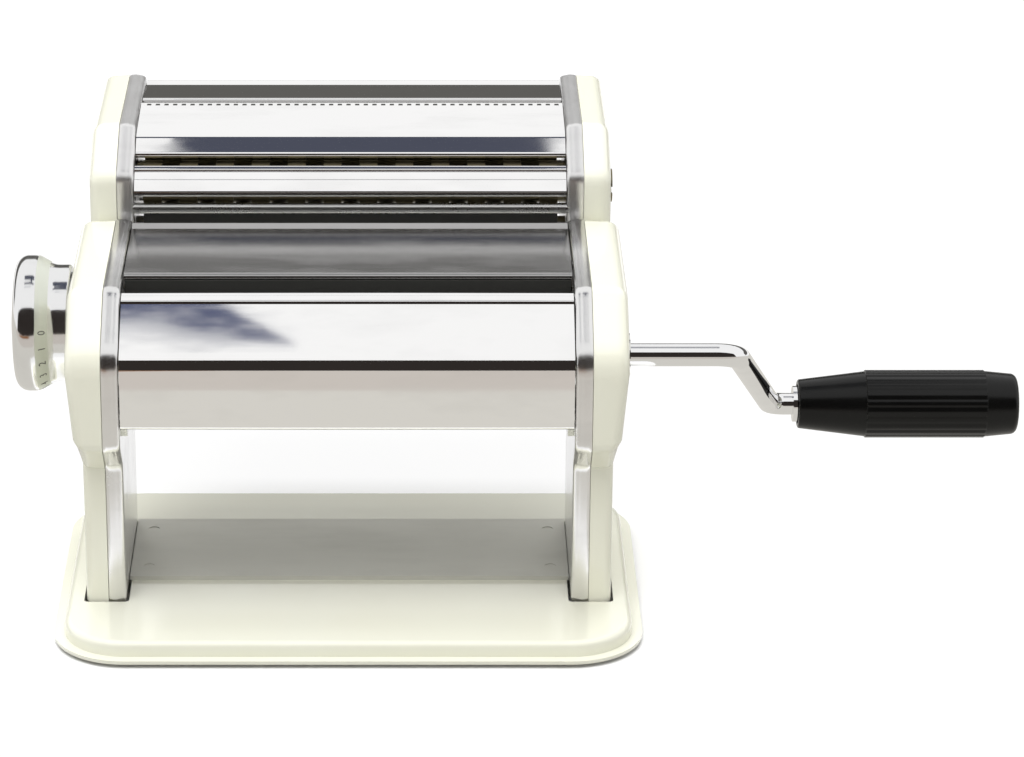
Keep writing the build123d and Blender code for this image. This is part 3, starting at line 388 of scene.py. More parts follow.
def piece_from(name: str, points: Points, faces: list, finish: Finish, crease: float = 40.0) -> bpy.types.Object:
    """Make a piece from points in millimetres.

    Args:
        name: the piece's name.
        points: an array of (x, y, z).
        faces: lists of indices.
        finish: what it is finished in.
        crease: edges sharper than this, in degrees, stay sharp.

    Returns:
        The new object, at the world's origin.
    """
    mesh = bpy.data.meshes.new(name)
    mesh.from_pydata((points.reshape(-1, 3) * MM).tolist(), [], faces)
    work = bmesh.new()
    work.from_mesh(mesh)
    bmesh.ops.recalc_face_normals(work, faces=work.faces)
    work.to_mesh(mesh)
    work.free()
    mesh.shade_smooth()
    mesh.set_sharp_from_angle(angle=math.radians(crease))
    mesh.materials.append(finish.material())
    made = bpy.data.objects.new(name, mesh)
    bpy.context.scene.collection.objects.link(made)
    return made


def lofted(name: str, rings: Points, finish: Finish, crease: float = 40.0, hollow: bool = False) -> bpy.types.Object:
    """A closed skin through closed rings of points.

    Args:
        name: the piece's name.
        rings: the rings, an array of (ring, point, xyz).
        finish: its finish.
        crease: edges sharper than this, in degrees, stay sharp.
        hollow: the last ring joins the first, as in a tyre, instead of a flat face over each.

    Returns:
        The new piece.
    """
    rows, columns = rings.shape[:2]
    if hollow:
        return piece_from(name, rings, grid_faces(rows + 1, columns, True, rows), finish, crease)
    faces = grid_faces(rows, columns, True)
    faces.append(list(range(columns)))
    faces.append(list(range((rows - 1) * columns, rows * columns)))
    return piece_from(name, rings, faces, finish, crease)


def rounded_path(corners: Sequence[Sequence[float]], radii: Sequence[float], steps: int = 10,
                 guard: float = 0.0) -> Points:
    """A path with its inner corners rounded.

    At a corner the arc leaves along the incoming direction d and turns towards the centre along n, the
    part of the outgoing direction that is square to d: centre - r n cos(a) + r d sin(a).

    Args:
        corners: the path's corners, ends included, in two or three dimensions.
        radii: a radius for each inner corner.
        steps: points on each arc, less one.
        guard: how far beyond each arc a point keeps the straight run flat; 0 leaves it out.

    Returns:
        The path's points in order.
    """
    spots = np.asarray(corners, float)
    runs = np.diff(spots, axis=0)
    ways = runs / np.linalg.norm(runs, axis=1, keepdims=True)
    pieces = [spots[:1]]
    for k, radius in enumerate(radii):
        before, after = ways[k], ways[k + 1]
        turn = math.acos(float(np.clip(before @ after, -1.0, 1.0)))
        square = after - before * (before @ after)
        square = square / np.linalg.norm(square)
        start = spots[k + 1] - before * radius * math.tan(turn / 2)
        angle = np.linspace(0.0, turn, steps + 1)[:, None]
        arc = start + square * radius - square * radius * np.cos(angle) + before * radius * np.sin(angle)
        if guard:
            arc = np.concatenate([arc[:1] - before * guard, arc, arc[-1:] + after * guard])
        pieces.append(arc)
    pieces.append(spots[-1:])
    return np.concatenate(pieces)


def turned(name: str, y: float, z: float, profile: Points, finish: Finish, sides: int = 128,
           crease: float = 40.0, hollow: bool = False) -> bpy.types.Object:
    """A piece turned about an axle along X: a point (x, r) of the profile sweeps y + r cos, z + r sin.

    Args:
        name: the piece's name.
        y: the axle's place along Y.
        z: the axle's height.
        profile: the points (x, r) in order.
        finish: its finish.
        sides: points round the axle.
        crease: edges sharper than this, in degrees, stay sharp.
        hollow: the profile is a closed loop, so the piece has a bore.

    Returns:
        The new piece.
    """
    angle = np.linspace(0.0, 2 * math.pi, sides, endpoint=False)
    radius = profile[:, 1:2]
    along = profile[:, :1] + 0 * angle[None, :]
    rings = np.stack([along, y + radius * np.cos(angle), z + radius * np.sin(angle)], -1)
    return lofted(name, rings, finish, crease, hollow)


@dataclass(frozen=True)
class Outline:
    """A closed outline in the side view, each corner (y, z, radius), running anticlockwise from +X."""

    corners: tuple[tuple[float, float, float], ...]
    steps: int = 8
    guard: float = 0.35

    def loop(self, inset: float = 0.0) -> Points:
        """The outline drawn in by inset.

        Both lines that meet at a corner move in by inset, and the arc keeps their middle: its radius
        falls by inset at an outer corner and grows by it at an inner one.

        Args:
            inset: how far the outline is drawn in.

        Returns:
            The loop's points, (y, z), with the same count for every inset.
        """
        data = np.asarray(self.corners, float)
        spots, radius = data[:, :2], data[:, 2]
        before = spots - np.roll(spots, 1, axis=0)
        after = np.roll(spots, -1, axis=0) - spots
        before /= np.linalg.norm(before, axis=1, keepdims=True)
        after /= np.linalg.norm(after, axis=1, keepdims=True)
        inward_1 = np.stack([-before[:, 1], before[:, 0]], -1)
        inward_2 = np.stack([-after[:, 1], after[:, 0]], -1)
        cross = before[:, 0] * after[:, 1] - before[:, 1] * after[:, 0]
        turn = np.arctan2(cross, (before * after).sum(1))
        sign = np.sign(turn)
        meet = (inward_1 + inward_2) / (1 + (inward_1 * inward_2).sum(1))[:, None]
        bend = np.maximum(radius - sign * inset, 0.15)
        centre = spots + meet * (inset + sign * bend)[:, None]
        angle = np.linspace(0.0, 1.0, self.steps + 1)[None, :] * turn[:, None]
        facing_y = inward_1[:, :1] * np.cos(angle) - inward_1[:, 1:] * np.sin(angle)
        facing_z = inward_1[:, :1] * np.sin(angle) + inward_1[:, 1:] * np.cos(angle)
        reach = (sign * bend)[:, None]
        arcs = np.stack([centre[:, :1] - reach * facing_y, centre[:, 1:] - reach * facing_z], -1)
        start = arcs[:, :1] - before[:, None] * self.guard
        end = arcs[:, -1:] + after[:, None] * self.guard
        return np.concatenate([start, arcs, end], axis=1).reshape(-1, 2)

    def rings(self, section: Sequence[tuple[float, float]]) -> Points:
        """Rings through the outline, one for each (inset, x) of the section."""
        loops = [self.loop(inset) for inset, _ in section]
        return np.stack([np.column_stack([np.full(len(l), x), l]) for l, (_, x) in zip(loops, section)])


def quarter(start: tuple[float, float], end: tuple[float, float], steps: int = 8) -> list[tuple[float, float]]:
    """A quarter ellipse in (inset, x) that leaves start along x and reaches end along the inset."""
    angle = np.linspace(0.0, math.pi / 2, steps + 1)
    inset = start[0] + (end[0] - start[0]) * (1 - np.cos(angle))
    x = start[1] + (end[1] - start[1]) * np.sin(angle)
    return list(zip(inset.tolist(), x.tolist()))


def pressed_section(inner: float, sheet: float, rim_out: float) -> list[tuple[float, float]]:
    """The section of a pressed side plate, in (inset, x).

    It runs from the web's outer face, up the rim's inside, round its edge, back along its slightly
    crowned outside, and through the pressed bend to the web's inner face.

    Args:
        inner: where the web's inner face is.
        sheet: the sheet's thickness.
        rim_out: how far out the rim reaches.

    Returns:
        The section's points in order.
    """
    bend = 1.9
    crown = [(0.35 * abs(1 - 2 * u) ** 2.2, rim_out - 0.15 - u * (rim_out - inner - bend - 0.3))
             for u in np.linspace(0, 1, 9).tolist()]
    return [
        (bend + 1.0, inner + sheet), (bend + 0.4, inner + sheet), (sheet + 0.1, inner + bend),
        (sheet + 0.1, rim_out - 0.3), (sheet - 0.2, rim_out), (0.6, rim_out), *crown,
        *quarter((0.37, inner + bend), (bend, inner)), (bend + 0.4, inner), (bend + 1.0, inner),
    ]


def mirrored(rings: Points, side: int) -> Points:
    """Rings on the crank side as they are (side 1), or turned over to the knob side (side -1)."""
    return rings * np.array([float(side), 1.0, 1.0])


def drilled(piece: bpy.types.Object, cutter: bpy.types.Object) -> None:
    """Cut one piece out of another and remove the cutter."""
    change = piece.modifiers.new("bore", "BOOLEAN")
    change.object = cutter
    change.solver = "EXACT"
    ready = piece.evaluated_get(bpy.context.evaluated_depsgraph_get())
    mesh = bpy.data.meshes.new_from_object(ready)
    piece.modifiers.clear()
    old, piece.data = piece.data, mesh
    mesh.name = old.name
    bpy.data.meshes.remove(old)
    bpy.data.objects.remove(cutter)
    mesh.set_sharp_from_angle(angle=math.radians(40.0))


def folded_sheet(name: str, line: Sequence[tuple[float, float]], radii: Sequence[float], thickness: float,
                 half_width: float, finish: Finish, crown: float = 0.0) -> bpy.types.Object:
    """Folded sheet metal.

    The side view's rounded line is set off by half the thickness to either side along its normal, which
    gives a closed section; the section is carried along X. crown lifts the middle of the sheet by that
    much, as a parabola over the width.

    Args:
        name: the piece's name.
        line: the fold line's corners, (y, z).
        radii: a radius for each inner corner.
        thickness: the sheet's thickness.
        half_width: half its width along X.
        finish: its finish.
        crown: how far its middle stands out.

    Returns:
        The new piece.
    """
    path = rounded_path(line, radii, 12, 0.12)
    steps = np.gradient(path, axis=0)
    steps /= np.linalg.norm(steps, axis=1, keepdims=True)
    normal = np.stack([-steps[:, 1], steps[:, 0]], -1)
    section = np.concatenate([path + normal * thickness / 2, (path - normal * thickness / 2)[::-1]])
    lift = np.concatenate([normal, normal[::-1]])
    places = np.linspace(-half_width, half_width, 25)
    share = (1 - (places / half_width) ** 2)[:, None, None] * crown
    sides = section[None] + share * lift[None]
    across = np.broadcast_to(places[:, None, None], (*sides.shape[:2], 1))
    return lofted(name, np.concatenate([across, sides], -1), finish, 30.0)


# ---------------------------------------------------------------- the machine's sub-assemblies
class Body(Enum):
    """The CAD bodies that new pieces ride on."""

    FRAME = "frame"
    CRANK = "crank"
    HANDLE = "handle"
    KNOB = "knob"
    CUTTER_UNIT = "cutter_unit"
    FINE_FRONT = "fine_front"
    FINE_REAR = "fine_rear"


class Workshop:
    """Keeps count of the pieces and ties each to its body, hiding the CAD nodes it stands for."""

    def __init__(self) -> None:
        """Start with no pieces."""
        self.count = 0

    def fit(self, piece: bpy.types.Object, body: Body, nodes: Sequence[str] = ()) -> None:
        """Tie a piece to its body.

        Args:
            piece: the new piece.
            body: the body it rides on.
            nodes: the CAD nodes it stands for.
        """
        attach(piece, body.value)
        if nodes:
            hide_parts(*nodes)
        self.count += 1
        LOG.info("piece %s rides on %s, %d faces", piece.name, body.value, len(piece.data.polygons))


@dataclass
class SideFrames:
    """The two pressed side plates of the body and their painted covers."""

    inner: float = 78.0
    sheet: float = 1.2
    rim_out: float = 84.2
    body_out: float = 96.6
    leg_out: float = 92.0
    foot: float = 6.2
    cover_foot: float = 7.3
    leg_front: float = -30.8
    leg_rear: float = 36.7
    body_front: float = -41.4
    body_rear: float = 56.0
    brow: float = -18.4
    roof: float = 120.2
    shoulder: float = 103.5
    belly: float = 69.5
    waist: float = 59.0
    collar: tuple[float, float, float] = (-19.4, 96.3, 8.3)

    def plate_outline(self) -> Outline:
        """The side plate with its leg."""
        return Outline((
            (self.leg_front, self.foot, 0.6), (self.leg_rear, self.foot, 0.6), (self.leg_rear, self.waist, 5.0),
            (self.body_rear, self.belly, 7.0), (self.body_rear, self.roof, 4.0), (self.brow, self.roof, 9.0),
            (self.body_front, self.shoulder, 13.0), (self.body_front, self.belly, 5.0),
            (self.leg_front, self.waist, 5.0),
        ))

    def plate_section(self) -> list[tuple[float, float]]:
        """Round the pressing: web's outer face, inside of the rim, its crowned outside, the bend, the web."""
        return pressed_section(self.inner, self.sheet, self.rim_out)

    def cover_outline(self) -> Outline:
        """The cover's outline over the body, down to where the leg starts."""
        low = self.waist - 1.0
        return Outline((
            (self.leg_front, low, 4.0), (self.leg_rear, low, 4.0), (self.body_rear, self.belly, 8.0),
            (self.body_rear, self.roof, 6.0), (self.brow, self.roof, 9.0),
            (self.body_front, self.shoulder, 14.0), (self.body_front, self.belly, 6.0),
        ))

    def leg_cover_outline(self) -> Outline:
        """The cover's outline down the leg."""
        return Outline((
            (self.leg_front, self.cover_foot, 1.0), (self.leg_rear, self.cover_foot, 1.0),
            (self.leg_rear, self.belly, 3.0), (self.leg_front, self.belly, 3.0),
        ))

    def body_cover_rings(self) -> Points:
        """The body cover's rings: straight wall, round edge, flat face, drawn in towards the waist."""
        edge = 4.4
        section = [(0.0, self.rim_out), (0.15, self.rim_out + 3.0),
                   *quarter((0.3, self.body_out - edge), (edge, self.body_out), 10),
                   (edge + 0.6, self.body_out), (edge + 1.6, self.body_out)]
        rings = self.cover_outline().rings(section)
        drop = np.clip((self.belly + 7.5 - rings[..., 2]) / 9.5, 0.0, 1.0)
        share = 1 - drop * (self.body_out - self.leg_out - 0.35) / (self.body_out - self.rim_out)
        rings[..., 0] = self.rim_out + (rings[..., 0] - self.rim_out) * share
        return rings

    def leg_cover_rings(self) -> Points:
        """The leg cover's rings: straight wall, round edge, flat face."""
        edge = 3.0
        section = [(0.0, self.rim_out), *quarter((0.1, self.leg_out - edge), (edge, self.leg_out), 8),
                   (edge + 0.6, self.leg_out), (edge + 1.2, self.leg_out)]
        rings = self.leg_cover_outline().rings(section)
        low = self.cover_foot + 4.0
        rings[..., 2] = np.where(rings[..., 2] < low, self.cover_foot + (rings[..., 2] - self.cover_foot) * 0.02,
                                 rings[..., 2])
        return rings

    def build(self, shop: Workshop) -> None:
        """Build both sides."""
        for side, word in ((1, "right"), (-1, "left")):
            plate = lofted(f"{word}_pressed_plate", mirrored(self.plate_outline().rings(self.plate_section()), side),
                           RIM_STEEL)
            shop.fit(plate, Body.FRAME, [f"{word}_side_plate"])
            cover = lofted(f"{word}_body_cover", mirrored(self.body_cover_rings(), side), CREAM)
            if side > 0:
                y, z, radius = self.collar
                bore = turned("bore", y, z, np.array([[90.0, radius], [110.0, radius]]), CREAM, 64)
                drilled(cover, bore)
            shop.fit(cover, Body.FRAME, [f"{word}_side_cover"])
            leg = lofted(f"{word}_leg_cover", mirrored(self.leg_cover_rings(), side), CREAM)
            shop.fit(leg, Body.FRAME)


@dataclass
class FoldedPanels:
    """The body's folded front cover and top plate, and near-black sheets that paint shade under the mouth and beside
    the rear panel.
    """

    half_width: float = 77.8
    sheet: float = 0.8
    front: float = -40.6
    fold: float = 101.5
    hem: float = 77.3
    mouth: float = -22.0
    mouth_height: float = 115.6
    top: float = 120.1
    top_front: float = -4.6
    top_rear: float = 41.6
    rear: float = 53.0
    panel_half: float = 76.0

    def build(self, shop: Workshop) -> None:
        """Build the front cover, the top plate, the painted-shade sheet under the mouth and the two painted-shade
        strips beside the rear panel.
        """
        cover = folded_sheet(
            "front_fold_cover",
            [(self.front + 4.6, self.hem), (self.front, self.hem), (self.front, self.fold),
             (self.mouth + 0.2, self.mouth_height + 0.2), (self.mouth + 0.6, self.mouth_height + 1.2),
             (self.mouth + 2.8, self.mouth_height + 2.05), (self.mouth + 3.3, self.mouth_height + 1.5),
             (self.mouth + 5.6, self.mouth_height + 2.4), (self.mouth + 6.6, self.mouth_height - 1.6)],
            (1.1, 8.0, 0.3, 0.4, 0.2, 0.3, 0.8), self.sheet, self.half_width, MIRROR, 0.12,
        )
        shop.fit(cover, Body.FRAME, ["front_cover"])
        plate = folded_sheet(
            "top_fold_plate",
            [(self.top_front + 0.8, self.top - 5.0), (self.top_front, self.top), (self.top_rear, self.top),
             (self.top_rear + 4.0, self.top + 1.05), (self.top_rear + 4.8, self.top - 3.0)],
            (1.2, 1.5, 0.6), self.sheet, self.half_width, TOP_SHEET, 0.0,
        )
        shop.fit(plate, Body.FRAME, ["top_plate"])
        # A near-black sheet behind the mouth is painted shade: it stands for the shade over the rear roller under the
        # top plate.
        mouth_shade_y = self.top_front - 0.75
        mouth_shade = folded_sheet(
            "feed_guide",
            [(mouth_shade_y, self.top - 1.5), (mouth_shade_y, self.top - 12.0), (self.top_front + 0.2, self.top - 13.6)],
            (1.0,), 0.5, self.half_width - 0.4, SHADE_AND_COMB_STEEL,
        )
        shop.fit(mouth_shade, Body.FRAME)
        # Two near-black strips beside the rear panel are painted shade: they close the gaps where the machine is dark
        # inside.
        for side, word in ((1, "right"), (-1, "left")):
            half = (self.half_width - self.panel_half) / 2
            rear_shade = folded_sheet(f"{word}_rear_seal", [(self.rear, self.hem - 5.0), (self.rear, self.top - 5.6)], (),
                                0.6, half, SHADE_AND_COMB_STEEL)
            rear_shade.data.transform(Matrix.Translation((side * (self.panel_half + half) * MM, 0.0, 0.0)))
            shop.fit(rear_shade, Body.FRAME)


@dataclass
class Knob:
    """The chrome setting knob with its satin dial band and numbers."""

    y: float = 7.7
    z: float = 97.7218
    back: float = 97.1
    length: float = 19.5
    neck: float = 20.6
    rim: float = 23.9
    cap: float = 15.0
    recess: float = 17.9
    cavity: float = 9.0
    bore: float = 8.1
    flare_start: float = 4.5
    flare_length: float = 8.5
    numbers: int = 10
    number_size: float = 3.4
    number_step: float = 15.0
    first_number: float = 168.0
    sides: int = 160

    def flare(self, share: Points) -> Points:
        """The shell's radius along its flare: neck + (rim - neck) (3 s^2 - 2 s^3) for a share s of the way."""
        return self.neck + (self.rim - self.neck) * (3 * share ** 2 - 2 * share ** 3)

    def build(self, shop: Workshop) -> None:
        """Build the knob's shell, its dial band, its face and the numbers."""
        b, end = self.back, self.back + self.length
        seat = -end + 1.6
        inside = [[seat, self.cap], [seat, self.cavity], [-b - 7.0, self.cavity], [-b - 7.0, self.bore],
                  [-b - 4.0, self.bore], [-b - 4.0, self.recess], [-b, self.recess], [-b, self.neck]]
        u = np.linspace(0.0, 1.0, 17)[:, None]
        slope = np.concatenate([-b - self.flare_start - self.flare_length * u, self.flare(u)], 1)
        face = [[-end, self.rim], [-end, self.cap + 0.15], [-end + 0.8, self.cap + 0.05]]
        bores = rounded_path([[seat + 0.2, self.cap + 0.02], *inside, slope[0]], (*(0.1,) * 6, 0.3, 0.9), 6)
        front = rounded_path([slope[-1], *face], (4.6, 0.3), 14)
        body = turned("knob_shell", self.y, self.z, np.concatenate([bores, slope[1:-1], front]), KNOB_CHROME,
                      self.sides, hollow=True)
        shop.fit(body, Body.KNOB, ["thickness_knob"])
        proud = np.concatenate([slope[5:14] + [0.0, 0.12], slope[13:4:-1] - [0.0, 0.6]])
        dial = turned("knob_dial_band", self.y, self.z, proud, SATIN_BAND, self.sides, hollow=True)
        shop.fit(dial, Body.KNOB)
        share = np.linspace(1.0, 0.03, 14)
        dome = np.column_stack([-end - 1.7 * (1 - share ** 2), (self.cap - 0.25) * share])
        edge = [[-end + 1.5, self.cap - 0.25], [-end + 0.3, self.cap - 0.25]]
        face = turned("knob_face", self.y, self.z, np.concatenate([edge, dome]), CHROME, self.sides)
        shop.fit(face, Body.KNOB, ["knob_cap"])
        shop.fit(self.dial_numbers(), Body.KNOB)

    def dial_numbers(self) -> bpy.types.Object:
        """Raised numbers round the dial band.

        A letter's height v runs along the band's slope and its width u round the axle: the angle is the
        number's own plus u over the radius, and the radius grows with v as the band does.
        """
        pieces, faces, used = [], [], 0
        for k in range(self.numbers):
            curve = bpy.data.curves.new("number", "FONT")
            curve.body = str(k)
            curve.size = self.number_size
            curve.align_x = "CENTER"
            curve.align_y = "CENTER"
            curve.extrude = 0.06
            holder = bpy.data.objects.new("number", curve)
            mesh = bpy.data.meshes.new_from_object(holder)
            flat = np.empty(len(mesh.vertices) * 3)
            mesh.vertices.foreach_get("co", flat)
            u, v, lift = flat.reshape(-1, 3).T
            share = 0.53 + v / self.flare_length
            radius = self.flare(share) + lift + 0.14
            angle = math.radians(self.first_number + self.number_step * k) - u / radius
            x = -self.back - self.flare_start - self.flare_length * share
            pieces.append(np.column_stack([x, self.y + radius * np.cos(angle), self.z + radius * np.sin(angle)]))
            faces += [[used + i for i in face.vertices] for face in mesh.polygons]
            used += len(mesh.vertices)
            bpy.data.objects.remove(holder)
            bpy.data.curves.remove(curve)
            bpy.data.meshes.remove(mesh)
        return piece_from("dial_numbers", np.concatenate(pieces), faces, INK)


@dataclass
class Crank:
    """The bent crank rod and its fluted grip."""

    y: float = -19.4
    z: float = 96.3
    rod: float = 4.0
    start: float = 74.5
    first: float = 134.5
    second: float = 153.5
    end_y: float = 55.6
    end_z: float = 47.2
    grip_left: float = 163.4
    grip_length: float = 80.2
    grip_radius: float = 12.4
    flutes: int = 24
    flute_depth: float = 0.20
    flat_start: float = 24.5
    flat_end: float = 68.4
    spindle: float = 3.0

    def build(self, shop: Workshop) -> None:
        """Build the rod and the grip."""
        shop.fit(self.rod_piece(), Body.CRANK, ["crank_rod"])
        shop.fit(self.grip_piece(), Body.HANDLE, ["grip"])

    def rod_piece(self) -> bpy.types.Object:
        """The rod: a circle carried along the rounded Z path, all in one plane.

        The plane's normal b is constant, so a ring at a point with tangent t is the point plus
        r (cos(a) (b x t) + sin(a) b). The last run steps down to the grip's spindle.
        """
        shoulder = self.grip_left - 0.3
        spindle_end = self.grip_left + self.grip_length * 0.86
        path = rounded_path(
            [(self.start, self.y, self.z), (self.first, self.y, self.z), (self.second, self.end_y, self.end_z),
             (shoulder, self.end_y, self.end_z)], (9.0, 5.9), 24)
        tangent = np.gradient(path, axis=0)
        tangent /= np.linalg.norm(tangent, axis=1, keepdims=True)
        tangent[[0, -1]] = (1.0, 0.0, 0.0)
        radius = np.full(len(path), self.rod)
        tail_x = np.array([shoulder, shoulder + 0.01, spindle_end])
        tail = np.column_stack([tail_x, np.full(3, self.end_y), np.full(3, self.end_z)])
        path = np.concatenate([path, tail])
        tangent = np.concatenate([tangent, np.tile([1.0, 0.0, 0.0], (3, 1))])
        radius = np.concatenate([radius, [self.rod - 0.4, self.spindle, self.spindle]])
        arm = np.array([0.0, self.end_y - self.y, self.end_z - self.z])
        across = np.cross([1.0, 0.0, 0.0], arm / np.linalg.norm(arm))
        other = np.cross(across, tangent)
        angle = np.linspace(0, 2 * math.pi, 48, endpoint=False)
        rings = path[:, None] + radius[:, None, None] * (
            np.cos(angle)[None, :, None] * other[:, None] + np.sin(angle)[None, :, None] * across)
        return lofted("bent_crank_rod", rings, CHROME)

    def grip_piece(self) -> bpy.types.Object:
        """The grip: its turned profile, less shallow round flutes over its middle.

        The radius is profile(x) - depth * flute(angle) * middle(x); flute is the third power of a cosine
        that repeats once a flute, and middle is 1 between the two steps of the profile.
        """
        left, top = self.grip_left, self.grip_radius
        flat_start, flat_end = left + self.flat_start, left + self.flat_end
        outline = rounded_path(
            [(left + 3.0, 7.0), (left, 7.2), (left, 8.9), (flat_start, top - 0.45), (flat_start + 0.2, top),
             (flat_end - 0.2, top), (flat_end, top - 0.35), (left + self.grip_length, 10.9),
             (left + self.grip_length, 1.0)],
            (0.4, 0.8, 0.15, 0.15, 0.15, 0.15, 2.4), 8)
        angle = np.linspace(0, 2 * math.pi, self.flutes * 10, endpoint=False)
        middle = ((outline[:, 0] > flat_start + 0.15) & (outline[:, 0] < flat_end - 0.15)).astype(float)
        flute = np.abs(np.cos(angle * self.flutes / 2)) ** 3
        radius = outline[:, 1:] - self.flute_depth * middle[:, None] * flute[None]
        rings = np.stack([outline[:, :1] + 0 * angle[None], self.end_y + radius * np.cos(angle),
                          self.end_z + radius * np.sin(angle)], -1)
        return lofted("fluted_grip", rings, GRIP, 35.0)


@dataclass
class CutterUnit:
    """The attachment: pressed side plates, end caps, mirror sheets, a near-black shade sheet, comb tabs and fine
    cutters.
    """

    inner: float = 78.0
    sheet: float = 1.2
    rim_out: float = 84.2
    cap_out: float = 94.0
    front: float = 57.4
    low: float = 92.2
    shoulder: float = 135.0
    brow: float = 82.0
    roof: float = 146.3
    rear: float = 147.0
    tail: float = 145.0
    half_width: float = 77.8
    panel: float = 0.8
    body_roof: float = 120.2
    socket_places: tuple[tuple[float, float], ...] = ((68.5, 127.5), (123.0, 131.0))
    bar: tuple[float, float, float] = (63.0, 98.0, 3.3)
    fine_front: tuple[float, float] = (108.5, 131.0)
    fine_rear: tuple[float, float] = (123.0, 131.0)
    fine_pitch: float = 3.0
    fine_radius: float = 8.0
    fine_half: float = 74.8
    comb_pitch: float = 3.2
    bore_radius: float = 6.8

    def outline(self, radius: float) -> Outline:
        """The attachment's side view with corners of about the given radius."""
        return Outline((
            (self.front, self.low, radius * 0.8), (self.rear - 12.0, self.low, radius),
            (self.rear, self.low + 12.0, radius), (self.rear, self.tail, radius * 0.6),
            (self.brow, self.roof, radius * 1.2), (self.front, self.shoulder, radius),
        ))

    def plate_rings(self) -> Points:
        """The pressed plate's rings, as on the body but without a leg."""
        return self.outline(5.0).rings(pressed_section(self.inner, self.sheet, self.rim_out))

    def cap_rings(self) -> Points:
        """The painted end cap's rings: straight wall, a wide round edge, flat face."""
        edge = 4.6
        return self.outline(7.0).rings([
            (0.0, self.rim_out), (0.1, self.rim_out + 2.5),
            *quarter((0.2, self.cap_out - edge), (edge, self.cap_out), 10),
            (edge + 0.6, self.cap_out), (edge + 1.2, self.cap_out),
        ])

    def bar_slot(self) -> bpy.types.Object:
        """The cutter's shape for the slot that drops over the hanger bar: straight sides, round top."""
        y, z, radius = self.bar
        half = np.linspace(0.0, math.pi, 17)
        loop = np.concatenate([
            np.column_stack([y + radius * np.cos(half), z + radius * np.sin(half)]),
            [[y - radius, self.low - 5.0], [y + radius, self.low - 5.0]],
        ])
        rings = np.stack([np.column_stack([np.full(len(loop), x), loop]) for x in (-80.5, 80.5)])
        return lofted("bar_slot", rings, CUTTER_RIM)

    def fine_cutter(self, name: str, place: tuple[float, float], shift: float, driven: bool) -> bpy.types.Object:
        """A fine cutter: a turned profile whose radius steps between ridge and groove at the strip's pitch."""
        ridge, groove, half = self.fine_radius - 0.9, self.fine_radius - 2.2, self.fine_half
        centres = np.arange(-half + 1.2 + shift, half - 1.0, self.fine_pitch)
        quarter_pitch = self.fine_pitch / 4 - 0.06
        x = (centres[:, None] + np.array([-1.0, -1.0, 1.0, 1.0]) * quarter_pitch).reshape(-1)
        r = np.tile([groove, ridge, ridge, groove], len(centres))
        ends = [[-90.8, 4.0], [-75.0, 4.0], [-75.0, groove]]
        tail = [[75.0, groove], [75.0, 6.0], [94.6, 6.0], [94.6, 4.1], [76.0, 4.1]] if driven else [
            [75.0, groove], [75.0, 4.0], [83.6, 4.0]]
        return turned(name, *place, np.concatenate([ends, np.column_stack([x, r]), tail]), CUTTER, 48)

    def comb_tabs(self) -> bpy.types.Object:
        """The comb's tabs, which show along the middle sheet's rear edge: one low chamfered block a pitch."""
        width, depth, height = 1.7, 1.5, 0.16
        centres = np.arange(-self.half_width + 3.0, self.half_width - 2.0, self.comb_pitch)
        y, z = self.front + 50.3, self.body_roof + 25.02
        low = np.array([[-1, -1], [1, -1], [1, 1], [-1, 1]]) / 2
        floor = np.column_stack([low * [width, depth], np.zeros(4)])
        roof = np.column_stack([low * [width - 0.4, depth - 0.4], np.full(4, height)])
        block = np.concatenate([floor, roof])
        points = block[None] + np.column_stack([centres, np.full((len(centres), 2), (y, z))])[:, None]
        sides = [[3, 2, 1, 0], [4, 5, 6, 7], [0, 1, 5, 4], [1, 2, 6, 5], [2, 3, 7, 6], [3, 0, 4, 7]]
        faces = (np.arange(len(centres))[:, None, None] * 8 + np.array(sides)[None]).reshape(-1, 4).tolist()
        return piece_from("comb_tabs", points, faces, SHADE_AND_COMB_STEEL)

    def build(self, shop: Workshop) -> None:
        """Build the attachment's new pieces."""
        for side, word in ((1, "right"), (-1, "left")):
            plate = lofted(f"{word}_cutter_pressing", mirrored(self.plate_rings(), side), CUTTER_RIM)
            drilled(plate, self.bar_slot())
            shop.fit(plate, Body.CUTTER_UNIT, [f"cutter_{word}_plate"])
            cap = lofted(f"{word}_cutter_end_cap", mirrored(self.cap_rings(), side), CREAM)
            if side > 0:
                line = np.array([[80.0, self.bore_radius], [110.0, self.bore_radius]])
                for y, z in self.socket_places:
                    drilled(cap, turned("bore", y, z, line, CREAM, 48))
            shop.fit(cap, Body.CUTTER_UNIT, [f"cutter_{word}_cap"])
        f, low, end = self.front, self.body_roof, self.rear
        sheets = {
            "front": ([(f + 3.2, low + 6.4), (f + 0.7, low + 6.9), (f + 0.7, low + 8.3), (f + 3.2, low + 11.9),
                       (f + 3.7, low + 11.8), (f + 5.8, low + 14.2), (f + 5.5, low + 15.0), (f + 6.8, low + 15.8),
                       (f + 7.9, low + 15.3)], (0.7, 0.9, 0.2, 0.2, 0.3, 0.4, 0.6)),
            "middle": ([(f + 15.8, low + 15.6), (f + 13.0, low + 17.9), (f + 20.8, low + 23.1),
                        (f + 53.0, low + 24.8), (f + 53.8, low + 20.7)], (1.0, 6.5, 1.1)),
            "rear": ([(f + 60.6, low + 19.4), (f + 61.0, low + 23.5), (end - 4.9, low + 21.1),
                      (end - 1.0, low + 22.0), (end - 0.6, low - 25.0), (end - 4.4, low - 25.4)],
                     (0.9, 1.5, 0.6, 0.9)),
        }
        for word, (line, radii) in sheets.items():
            sheet = folded_sheet(f"cutter_{word}_sheet", line, radii, self.panel, self.half_width, MIRROR)
            shop.fit(sheet, Body.CUTTER_UNIT, [f"cutter_{word}_plate"])
